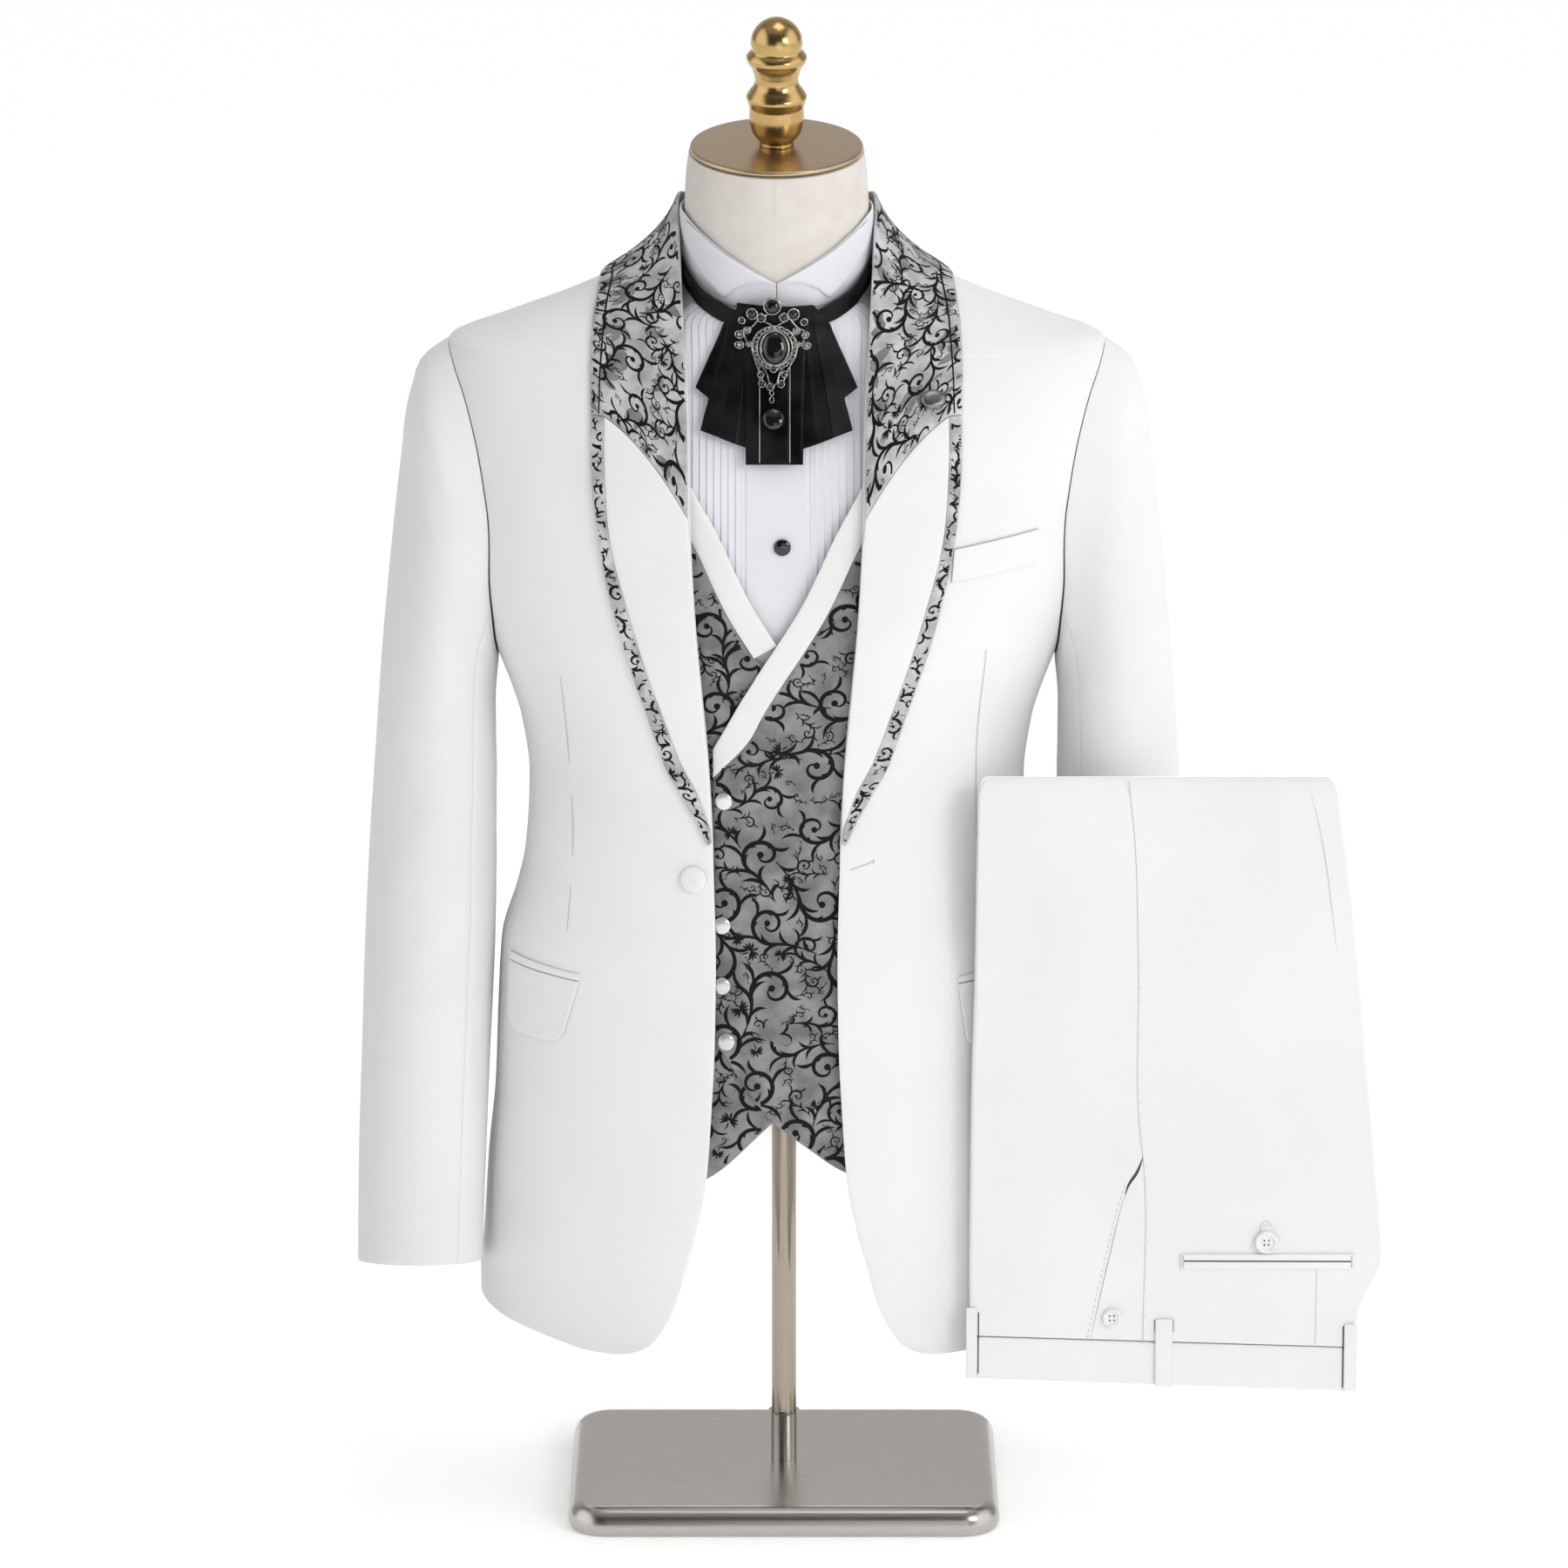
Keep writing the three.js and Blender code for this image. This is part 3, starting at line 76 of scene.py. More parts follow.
def track(table, at, value):
    # a smooth curve through the rows that never overshoots them
    x, y = np.array(table[at], float), np.array(table[value], float)
    gap = np.diff(x)
    rise = np.diff(y) / gap
    slope = np.concatenate([[rise[0]], np.zeros(len(x) - 2), [rise[-1]]])
    for i in range(1, len(x) - 1):
        if rise[i - 1] * rise[i] > 0:
            slope[i] = 2 * rise[i - 1] * rise[i] / (rise[i - 1] + rise[i])

    def curve(where):
        v = np.clip(where, x[0], x[-1])
        i = np.clip(np.searchsorted(x, v, side="left") - 1, 0, len(gap) - 1)
        t = (v - x[i]) / gap[i]
        s = 1 - t
        return ((1 + 2 * t) * s * s * y[i] + t * s * s * gap[i] * slope[i]
                + t * t * (3 - 2 * t) * y[i + 1] - t * t * s * gap[i] * slope[i + 1])
    return curve


halfAt, frontAt, backAt = [track(torso, "z", name) for name in ("half", "front", "back")]
formAt = {name: track(form, "z", name) for name in ("half", "front", "back", "middle", "tilt", "power")}
mix = lambda a, b, t: a + (b - a) * t
unit = lambda v: v / np.maximum(np.linalg.norm(v, axis=-1, keepdims=True), 1e-9)
point = lambda *v: np.stack(np.broadcast_arrays(*v), axis=-1).astype(float)
flip = np.array([-1.0, 1, 1])


def section(angle, half, front, back, power):
    s, c = np.sin(angle), np.cos(angle)
    depth = np.where(c > 0, -front, back)
    return half * np.sign(s) * np.abs(s) ** (2 / power), depth * np.abs(c) ** (2 / power)


def skin(angle, z):
    x, y = section(angle, halfAt(z), frontAt(z), backAt(z), squareness)
    return point(x, y, z)


def formSkin(angle, z):
    x, y = section(angle, formAt["half"](z), formAt["front"](z), formAt["back"](z), formAt["power"](z))
    return point(x, y + formAt["middle"](z), z + y * np.tan(np.radians(formAt["tilt"](z))))


def lifted(surface, angle, z, lift):
    # the point pushed out along the surface's own normal
    across = surface(angle + 0.002, z) - surface(angle - 0.002, z)
    up = surface(angle, z + 0.4) - surface(angle, z - 0.4)
    return surface(angle, z) + unit(np.cross(across, up)) * np.asarray(lift)[..., None]


def body(angle, z, lift=0.0):
    angle, z, lift = np.broadcast_arrays(np.asarray(angle, float), z, lift)
    return lifted(skin, angle, np.minimum(z, 872.5), lift)


def angleOf(x, z):
    return np.sign(x) * np.arcsin(np.minimum(1, np.abs(x) / halfAt(z)) ** (squareness / 2))


def bodyAt(x, z, lift=0.0):
    x, z = np.asarray(x, float), np.asarray(z, float)
    return body(angleOf(x, z), z, lift)


def chestAt(x, z, lift):
    x, z, lift = np.broadcast_arrays(np.asarray(x, float), z, lift)
    reach = np.minimum(1, np.abs(x) / formAt["half"](z)) ** (formAt["power"](z) / 2)
    return lifted(formSkin, np.sign(x) * np.arcsin(reach), z, lift)


def ridges(p, table):
    # soft folds: each row is a line in x and z with its own width and height, on the front or the back
    out = np.zeros(p.shape[:-1])
    for x0, z0, x1, z1, width, height, where in table:
        d = np.array([x1 - x0, z1 - z0], float)
        t = np.clip(((p[..., 0] - x0) * d[0] + (p[..., 2] - z0) * d[1]) / (d @ d), 0, 1)
        far = np.hypot(p[..., 0] - x0 - t * d[0], p[..., 2] - z0 - t * d[1])
        side = {"front": p[..., 1] < 20, "back": p[..., 1] > -20}[where]
        ends = np.sin(np.pi * np.clip(t * 0.94 + 0.03, 0, 1)) ** 0.7
        out += np.where(side, height * ends * np.exp(-(far / width) ** 2), 0)
    return out


# Meshes
def toWorld(points, shift=clothShift):
    return (np.asarray(points, float).reshape(-1, 3) + [shift, 0, 0]) * 0.001


def meshFrom(name, points, faces, uv=None, sharp=35):
    mesh = bpy.data.meshes.new(name)
    mesh.from_pydata(np.asarray(points).tolist(), [], [list(face) for face in faces])
    mesh.update()
    mesh.shade_smooth()
    mesh.set_sharp_from_angle(angle=math.radians(sharp))
    if uv is not None:
        loops = np.zeros(len(mesh.loops), int)
        mesh.loops.foreach_get("vertex_index", loops)
        mesh.uv_layers.new(name="cloth").data.foreach_set("uv", np.asarray(uv)[loops].ravel())
    piece = bpy.data.objects.new(name, mesh)
    bpy.context.scene.collection.objects.link(piece)
    return piece


def gridFaces(rows, cols, start=0, wrap=False):
    i, j = np.meshgrid(np.arange(rows - 1), np.arange(cols if wrap else cols - 1), indexing="ij")
    k = (j + 1) % cols
    at = lambda r, c: start + r * cols + c
    return np.stack([at(i, j), at(i, k), at(i + 1, k), at(i + 1, j)], -1).reshape(-1, 4)


def lengthsOf(grid, axis):
    step = np.linalg.norm(np.diff(grid, axis=axis), axis=-1)
    pad = [(0, 0), (0, 0)]
    pad[axis] = (1, 0)
    return np.pad(np.cumsum(step, axis=axis), pad)


def outward(points, faces):
    # faces turned so that the closed mesh has a positive volume
    p = np.asarray(points)
    a, b, c = p[faces[:, 0]], p[faces[:, 1]], p[faces[:, 2]]
    d = p[faces[:, -1]]
    volume = (a * np.cross(b, c)).sum() + (a * np.cross(c, d)).sum()
    return faces[:, ::-1] if volume < 0 else faces


def settled(outer, inner, sides="lrtb"):
    # the outer face rounds down towards the inner one at the named edges
    across, along = lengthsOf(outer, 1), lengthsOf(outer, 0)
    far = np.full(across.shape, 99.0)
    for key, d in (("l", across), ("r", across[:, -1:] - across), ("b", along), ("t", along[-1:] - along)):
        if key in sides:
            far = np.minimum(far, d)
    wall = np.linalg.norm(outer - inner, axis=-1, keepdims=True)
    k = seam["sink"] * np.exp(-(far / seam["reach"]) ** 2)[..., None] / np.maximum(wall, 0.1)
    return outer + (inner - outer) * k


def wallPiece(name, outer, inner, sides="lrtb", shift=clothShift):
    # a panel of cloth: outer and inner grids, joined by a rim with a rounded middle line
    rows, cols = outer.shape[:2]
    u, v = lengthsOf(outer, 1) * 0.001, lengthsOf(outer, 0) * 0.001
    outer = settled(outer, inner, sides)
    count = rows * cols
    index = np.arange(count).reshape(rows, cols)
    loop = np.concatenate([index[0], index[1:, -1], index[-1, -2::-1], index[-2:0:-1, 0]])
    flatOuter, flatInner = outer.reshape(-1, 3), inner.reshape(-1, 3)
    inwards = np.concatenate([index[1], index[1:, -2], index[-2, -2::-1], index[-2:0:-1, 1]])
    push = unit(flatOuter[loop] - flatOuter[inwards]) * 0.12
    rim = (flatOuter[loop] + flatInner[loop]) / 2 + push
    n = len(loop)
    nxt = np.roll(np.arange(n), -1)
    middle = 2 * count + np.arange(n)
    faces = np.concatenate([
        gridFaces(rows, cols)[:, ::-1], gridFaces(rows, cols, count),
        np.stack([loop, loop[nxt], middle[nxt], middle], -1),
        np.stack([middle, middle[nxt], count + loop[nxt], count + loop], -1)])
    points = np.concatenate([flatOuter, flatInner, rim])
    uv = np.stack([u, v], -1).reshape(-1, 2)
    uv = np.concatenate([uv, uv, uv[loop]])
    return meshFrom(name, toWorld(points, shift), outward(points, faces), uv, 50)


def flatSize(outer):
    # the cut's width, length and area in metres
    width, length = lengthsOf(outer, 1)[:, -1].max() * 0.001, lengthsOf(outer, 0)[-1].max() * 0.001
    a, b, c, d = outer[:-1, :-1], outer[:-1, 1:], outer[1:, 1:], outer[1:, :-1]
    area = (np.linalg.norm(np.cross(b - a, c - a), axis=-1)
            + np.linalg.norm(np.cross(c - a, d - a), axis=-1)).sum()
    width, length = max(width, leastFlat), max(length, leastFlat)
    return float(width), float(length), float(min(area * 0.5e-6, width * length))


def pushed(grid, lift, towards=None):
    # the grid moved along its own normals, away from the point "towards" when the lift is positive
    across = np.gradient(grid, axis=1)
    up = np.gradient(grid, axis=0)
    normal = unit(np.cross(across, up))
    if towards is not None:
        i, j = grid.shape[0] // 2, grid.shape[1] // 2
        if (normal[i, j] * (grid[i, j] - np.array(towards))).sum() < 0:
            normal = -normal
    return grid + normal * lift


def through(rows, count, at=None):
    # more rows, on a smooth curve through the given ones
    rows = [np.asarray(row, float) for row in rows]
    y = np.stack(rows)
    if at is None:
        step = np.linalg.norm(np.diff(y, axis=0), axis=-1)
        step = step.reshape(len(rows) - 1, -1).mean(1)
        at = np.concatenate([[0], np.cumsum(np.maximum(step, 1e-6))])
    at = np.asarray(at, float)
    slope = np.gradient(y, at, axis=0)
    where = np.linspace(at[0], at[-1], count) if np.isscalar(count) else np.asarray(count)
    i = np.clip(np.searchsorted(at, where, side="right") - 1, 0, len(at) - 2)
    gap = at[i + 1] - at[i]
    t = ((where - at[i]) / gap).reshape((-1,) + (1,) * (y.ndim - 1))
    gap = gap.reshape(t.shape)
    s = 1 - t
    return ((1 + 2 * t) * s * s * y[i] + t * s * s * gap * slope[i]
            + t * t * (3 - 2 * t) * y[i + 1] - t * t * s * gap * slope[i + 1])


def dense(count, near):
    # 0 to 1 with extra steps close to both ends
    inner = np.linspace(near * 2.2, 1 - near * 2.2, count)
    return np.concatenate([[0, near * 0.45, near], inner, [1 - near, 1 - near * 0.45, 1]])


def turnedPoints(profile, foot, axis, sides, fine):
    # a profile of radius and height turned about an axis; fine is the number of rings, or 0 to keep its own
    profile = np.array(profile, float)
    r, h = through([[row] for row in profile], fine)[:, 0].T if fine else profile.T
    up = unit(np.array(axis, float))
    side = unit(np.cross(up, [0, 1, 0] if abs(up[2]) > 0.9 else [0, 0, 1]))
    other = np.cross(up, side)
    a = np.linspace(0, 2 * np.pi, sides, endpoint=False)
    ring = np.cos(a)[:, None] * side + np.sin(a)[:, None] * other
    return np.asarray(foot, float) + h[:, None, None] * up + np.maximum(r, 0.01)[:, None, None] * ring


def ringPiece(name, rings, shift=clothShift, hoop=False, sharp=35):
    # closed rings stacked and capped, or joined round like a tyre
    rings = np.asarray(rings, float)
    rows, cols = rings.shape[:2]
    points = rings.reshape(-1, 3)
    faces = [list(f) for f in gridFaces(rows, cols, wrap=True)]
    if hoop:
        last = (rows - 1) * cols
        faces += [[last + j, last + (j + 1) % cols, (j + 1) % cols, j] for j in range(cols)]
    else:
        low, high = len(points), len(points) + 1
        points = np.concatenate([points, rings[0].mean(0)[None], rings[-1].mean(0)[None]])
        last = (rows - 1) * cols
        faces += [[low, (j + 1) % cols, j] for j in range(cols)]
        faces += [[high, last + j, last + (j + 1) % cols] for j in range(cols)]
    p = points[[f[0] for f in faces]]
    volume = sum((p * np.cross(points[[f[1] for f in faces]], points[[f[2] for f in faces]])).sum(-1))
    if volume < 0:
        faces = [f[::-1] for f in faces]
    around = np.linalg.norm(np.diff(rings, axis=1, append=rings[:, :1]), axis=-1).mean() * np.arange(cols)
    uv = np.stack(np.broadcast_arrays(around[None], lengthsOf(rings, 0)), -1).reshape(-1, 2) * 0.001
    uv = np.concatenate([uv, np.zeros((len(points) - len(uv), 2))])
    return meshFrom(name, toWorld(points, shift), faces, uv, sharp)


def tubes(name, paths, shift=clothShift, sides=8):
    # round wires: each path has its points and one radius or a radius for each point
    points, faces, start = [], [], 0
    for path, radius, closed in paths:
        p = np.asarray(path, float)
        ahead = np.roll(p, -1, 0) - np.roll(p, 1, 0) if closed else np.gradient(p, axis=0)
        ahead = unit(ahead)
        r = np.broadcast_to(np.asarray(radius, float), (len(p),))
        side = np.cross(ahead, [0, -1, 0.13])
        bad = np.linalg.norm(side, axis=-1) < 0.05
        side[bad] = np.cross(ahead[bad], [1, 0, 0])
        side = unit(side)
        other = np.cross(ahead, side)
        a = np.linspace(0, 2 * np.pi, sides, endpoint=False)
        rings = (p[:, None] + r[:, None, None]
                 * (np.cos(a)[None, :, None] * side[:, None] + np.sin(a)[None, :, None] * other[:, None]))
        points.append(rings.reshape(-1, 3))
        part = gridFaces(len(p), sides, start, wrap=True)[:, ::-1].tolist()
        last = start + (len(p) - 1) * sides
        if closed:
            part += [[last + (j + 1) % sides, last + j, start + j, start + (j + 1) % sides]
                     for j in range(sides)]
        else:
            part += [[start + j for j in range(sides)], [last + sides - 1 - j for j in range(sides)]]
        faces += part
        start += len(p) * sides
    return meshFrom(name, toWorld(np.concatenate(points), shift), faces, None, 60)


def place(piece, material, slotName, nodes=()):
    piece.data.materials.append(material)
    if nodes:
        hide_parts(*([nodes] if isinstance(nodes, str) else nodes))
    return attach(piece, "root")


def clothPair(name, outer, inner, material, slotName, held="hung", on=(), sides="lrtb", flipped=True,
              right=None):
    made = []
    for side, sign in (("right", np.ones(3)), ("left", flip))[:2 if flipped else 1]:
        label = f"{name}_{side}" if flipped else name
        over, under = right if right and side == "right" else (outer * sign, inner * sign)
        piece = place(wallPiece(label + "_cloth", over, under, sides), material, slotName, label)
        width, length, area = flatSize(outer)
        list(on)
        made.append(piece)
    return made


# Materials
def node(tree, kind, inputs=None, **settings):
    made = tree.nodes.new(kind)
    for key, value in settings.items():
        setattr(made, key, value)
    for key, value in (inputs or {}).items():
        if isinstance(value, bpy.types.NodeSocket):
            tree.links.new(value, made.inputs[key])
        else:
            made.inputs[key].default_value = value
    return made


def sums(tree, operation, a, b):
    return node(tree, "ShaderNodeMath", {0: a, 1: b}, operation=operation).outputs[0]


def newGroup(name, ins, outs):
    group = bpy.data.node_groups.new(name, "ShaderNodeTree")
    for label, kind, value in ins:
        socket = group.interface.new_socket(name=label, in_out="INPUT", socket_type=kind)
        if value is not None:
            socket.default_value = value
    for label, kind in outs:
        group.interface.new_socket(name=label, in_out="OUTPUT", socket_type=kind)
    return group, group.nodes.new("NodeGroupInput"), group.nodes.new("NodeGroupOutput")


def buildThreadWeave():
    # crossing threads: a plain weave, or a twill where Diagonal is 1
    group, given, out = newGroup(
        "threadWeave", [("Vector", "NodeSocketVector", None), ("Threads", "NodeSocketFloat", 2500.0),
                        ("Diagonal", "NodeSocketFloat", 0.0), ("Slub", "NodeSocketFloat", 0.3)],
        [("Height", "NodeSocketFloat"), ("Shade", "NodeSocketFloat")])
    xyz = node(group, "ShaderNodeSeparateXYZ", {0: given.outputs["Vector"]})
    turn = sums(group, "MULTIPLY", given.outputs["Threads"], 6.2832)
    u = sums(group, "MULTIPLY", xyz.outputs[0], turn)
    v = sums(group, "MULTIPLY", xyz.outputs[1], turn)
    plain = sums(group, "MULTIPLY", sums(group, "SINE", u, 0.0), sums(group, "SINE", v, 0.0))
    twill = sums(group, "SINE", sums(group, "ADD", u, v), 0.0)
    woven = node(group, "ShaderNodeMix", {0: given.outputs["Diagonal"], 2: plain, 3: twill},
                 data_type="FLOAT")
    slub = node(group, "ShaderNodeTexNoise", {"Vector": given.outputs["Vector"], "Scale": 900.0,
                                              "Detail": 3.0})
    centred = sums(group, "MULTIPLY", sums(group, "SUBTRACT", slub.outputs["Fac"], 0.5),
                   given.outputs["Slub"])
    height = sums(group, "ADD", sums(group, "MULTIPLY_ADD", woven.outputs[0], 0.5), centred)
    group.links.new(height, out.inputs["Height"])
    group.links.new(sums(group, "ADD", sums(group, "MULTIPLY", woven.outputs[0], 0.25),
                         sums(group, "ADD", centred, 0.5)), out.inputs["Shade"])
    return group


def buildSoftTone():
    # slow cloudy change of tone, as worn or pressed cloth has; on the black satin and the brocade grounds it
    # is painted sheen
    group, given, out = newGroup(
        "toneAndSheen", [("Vector", "NodeSocketVector", None), ("Scale", "NodeSocketFloat", 12.0),
                     ("Low", "NodeSocketFloat", 0.35), ("High", "NodeSocketFloat", 0.65)],
        [("Mask", "NodeSocketFloat")])
    noise = node(group, "ShaderNodeTexNoise",
                 {"Vector": given.outputs["Vector"], "Scale": given.outputs["Scale"], "Detail": 4.0})
    ramp = node(group, "ShaderNodeMapRange", {"Value": noise.outputs["Fac"], "From Min": given.outputs["Low"],
                                              "From Max": given.outputs["High"]})
    group.links.new(ramp.outputs[0], out.inputs["Mask"])
    return group


def buildBrushedLines():
    # fine lines drawn out along one direction, for brushed metal
    group, given, out = newGroup(
        "brushedLines", [("Vector", "NodeSocketVector", None), ("Fineness", "NodeSocketFloat", 900.0)],
        [("Mask", "NodeSocketFloat")])
    noise = node(group, "ShaderNodeTexNoise", {"Vector": given.outputs["Vector"],
                                               "Scale": given.outputs["Fineness"], "Detail": 3.0})
    group.links.new(noise.outputs["Fac"], out.inputs["Mask"])
    return group


threadWeave, toneAndSheen, brushedLines = buildThreadWeave(), buildSoftTone(), buildBrushedLines()


def newMaterial(name, **sockets):
    material = bpy.data.materials.new(name)
    material.use_nodes = True
    tree = material.node_tree
    shader = tree.nodes["Principled BSDF"]
    for key, value in sockets.items():
        shader.inputs[key].default_value = value
    return material, tree, shader


def clothMaterial(name, dark, light, threads, diagonal=0.0, slub=0.3, toneScale=14.0, relief=0.00012,
                  onCloth=True, shadeShare=0.5, **sockets):
    # the look of woven cloth: threads in colour and bump, over a slow change of tone
    material, tree, shader = newMaterial(name, **sockets)
    where = node(tree, "ShaderNodeTexCoord")
    vector = where.outputs["UV" if onCloth else "Object"]
    weave = node(tree, "ShaderNodeGroup", node_tree=threadWeave)
    for key, value in (("Threads", threads), ("Diagonal", diagonal), ("Slub", slub)):
        weave.inputs[key].default_value = value
    tree.links.new(vector, weave.inputs["Vector"])
    tone = node(tree, "ShaderNodeGroup", node_tree=toneAndSheen)
    tone.inputs["Scale"].default_value = toneScale
    tree.links.new(where.outputs["Object"], tone.inputs["Vector"])
    blend = node(tree, "ShaderNodeMix", {0: shadeShare, 2: tone.outputs[0], 3: weave.outputs["Shade"]},
                 data_type="FLOAT")
    colour = node(tree, "ShaderNodeMix", {0: blend.outputs[0], 6: (*dark, 1), 7: (*light, 1)},
                  data_type="RGBA")
    tree.links.new(colour.outputs[2], shader.inputs["Base Color"])
    bump = node(tree, "ShaderNodeBump", {"Strength": 0.5, "Distance": relief,
                                         "Height": weave.outputs["Height"]})
    tree.links.new(bump.outputs[0], shader.inputs["Normal"])
    return material


def metalMaterial(name, dark, light, stretch, fineness=900.0, roughLow=0.18, roughHigh=0.3, **sockets):
    material, tree, shader = newMaterial(name, Metallic=1.0, **sockets)
    where = node(tree, "ShaderNodeTexCoord")
    drawn = node(tree, "ShaderNodeMapping", {"Vector": where.outputs["Object"], "Scale": stretch})
    lines = node(tree, "ShaderNodeGroup", node_tree=brushedLines)
    lines.inputs["Fineness"].default_value = fineness
    tree.links.new(drawn.outputs[0], lines.inputs["Vector"])
    colour = node(tree, "ShaderNodeMix", {0: lines.outputs[0], 6: (*dark, 1), 7: (*light, 1)},
                  data_type="RGBA")
    tree.links.new(colour.outputs[2], shader.inputs["Base Color"])
    rough = node(tree, "ShaderNodeMapRange", {"Value": lines.outputs[0], "To Min": roughLow,
                                              "To Max": roughHigh})
    tree.links.new(rough.outputs[0], shader.inputs["Roughness"])
    bump = node(tree, "ShaderNodeBump", {"Strength": 0.12, "Distance": 0.00004, "Height": lines.outputs[0]})
    tree.links.new(bump.outputs[0], shader.inputs["Normal"])
    return material


def plainMaterial(name, colour, roughness, grain=400.0, spread=0.12, **sockets):
    # a hard or thread-like finish with a little change of tone and roughness
    material, tree, shader = newMaterial(name, **sockets)
    where = node(tree, "ShaderNodeTexCoord")
    tone = node(tree, "ShaderNodeGroup", node_tree=toneAndSheen)
    tone.inputs["Scale"].default_value = grain
    tree.links.new(where.outputs["Object"], tone.inputs["Vector"])
    light = tuple(min(1, c * (1 + spread)) for c in colour)
    mixed = node(tree, "ShaderNodeMix", {0: tone.outputs[0], 6: (*colour, 1), 7: (*light, 1)},
                 data_type="RGBA")
    tree.links.new(mixed.outputs[2], shader.inputs["Base Color"])
    rough = node(tree, "ShaderNodeMapRange",
                 {"Value": tone.outputs[0], "To Min": roughness * 0.85, "To Max": min(1, roughness * 1.15)})
    tree.links.new(rough.outputs[0], shader.inputs["Roughness"])
    return material


look = {
    "suiting": clothMaterial("whiteSuiting", (0.765, 0.76, 0.752), (0.83, 0.825, 0.817), 2200, diagonal=0.7,
                             toneScale=9, Roughness=0.78),
    "seamShade": plainMaterial("seamShade", (0.46, 0.455, 0.45), 0.9),
    "foldShade": plainMaterial("foldShade", (0.055, 0.052, 0.05), 0.9),
    "linen": clothMaterial("creamLinen", (0.70, 0.655, 0.60), (0.80, 0.76, 0.705), 1500, slub=0.8,
                           toneScale=60, relief=0.0003, Roughness=0.9),
    "cotton": clothMaterial("shirtCotton", (0.70, 0.70, 0.75), (0.79, 0.79, 0.83), 2600, toneScale=12,
                            Roughness=0.7),
    # brocade grounds: their large cloudy light and dark patches are painted sheen on the satin weave
    "greyGroundSheen": clothMaterial("vestGroundSheen", (0.12, 0.12, 0.125), (0.31, 0.31, 0.315), 2400, diagonal=1,
                                toneScale=55, relief=0.00006, shadeShare=0.3, Roughness=0.5, Metallic=0.2),
    "silverGroundSheen": clothMaterial("collarGroundSheen", (0.27, 0.27, 0.275), (0.66, 0.66, 0.665), 2400, diagonal=1,
                                  toneScale=60, relief=0.00006, shadeShare=0.3, Roughness=0.45, Metallic=0.2),
    "leafShade": clothMaterial("wovenLeaf", (0.12, 0.12, 0.125), (0.24, 0.24, 0.245), 2400, onCloth=False,
                               toneScale=120, relief=0.00005, shadeShare=0.3, Roughness=0.5),
    "scroll": clothMaterial("wovenScroll", (0.0016, 0.0016, 0.0018), (0.004, 0.004, 0.0045), 2600,
                            onCloth=False, relief=0.00005, Roughness=0.6, **{"Specular IOR Level": 0.2}),
    "buttonSatin": clothMaterial("buttonSatin", (0.10, 0.10, 0.104), (0.34, 0.34, 0.345), 2400, onCloth=False,
                                 diagonal=1, relief=0.00003, Roughness=0.2, Metallic=0.85),
    "vestButton": clothMaterial("vestButtonSatin", (0.44, 0.44, 0.445), (0.86, 0.86, 0.865), 2400,
                                onCloth=False, diagonal=1, relief=0.00003, shadeShare=0.3, Roughness=0.2,
                                Metallic=0.55),
    # black satin: its slow cloudy change from the dark to the light colour is painted sheen
    "satin": clothMaterial("blackSatinSheen", (0.0004, 0.0004, 0.0005), (0.013, 0.013, 0.015), 2600, diagonal=1,
                           toneScale=34, relief=0.00003, shadeShare=0.12, Roughness=0.34,
                           **{"Specular IOR Level": 0.12}),
    "brass": metalMaterial("polishedBrass", (0.47, 0.315, 0.125), (0.60, 0.41, 0.17), (1.0, 1.0, 0.03), 700,
                           0.15, 0.27),
    "capBrass": metalMaterial("brushedBrass", (0.45, 0.34, 0.21), (0.58, 0.45, 0.29), (0.05, 1.0, 1.0), 900,
                              0.24, 0.36),
    "steel": metalMaterial("brushedSteel", (0.44, 0.42, 0.39), (0.56, 0.535, 0.50), (0.03, 1.0, 1.0), 1100,
                           0.2, 0.3),
    "nickel": metalMaterial("satinNickel", (0.32, 0.28, 0.23), (0.42, 0.375, 0.31), (1.0, 1.0, 0.03), 1100,
                            0.1, 0.18),
    "jet": plainMaterial("blackStone", (0.004, 0.004, 0.0045), 0.05, **{"Coat Weight": 0.6}),
    "filigree": plainMaterial("darkSilver", (0.17, 0.163, 0.155), 0.16, grain=1200, spread=3.2, Metallic=1.0),
    "silverThread": plainMaterial("silverThread", (0.55, 0.55, 0.56), 0.35, Metallic=0.6),
    "shellButton": plainMaterial("whiteButton", (0.72, 0.715, 0.70), 0.3),
}
print("materials made:", len(look))

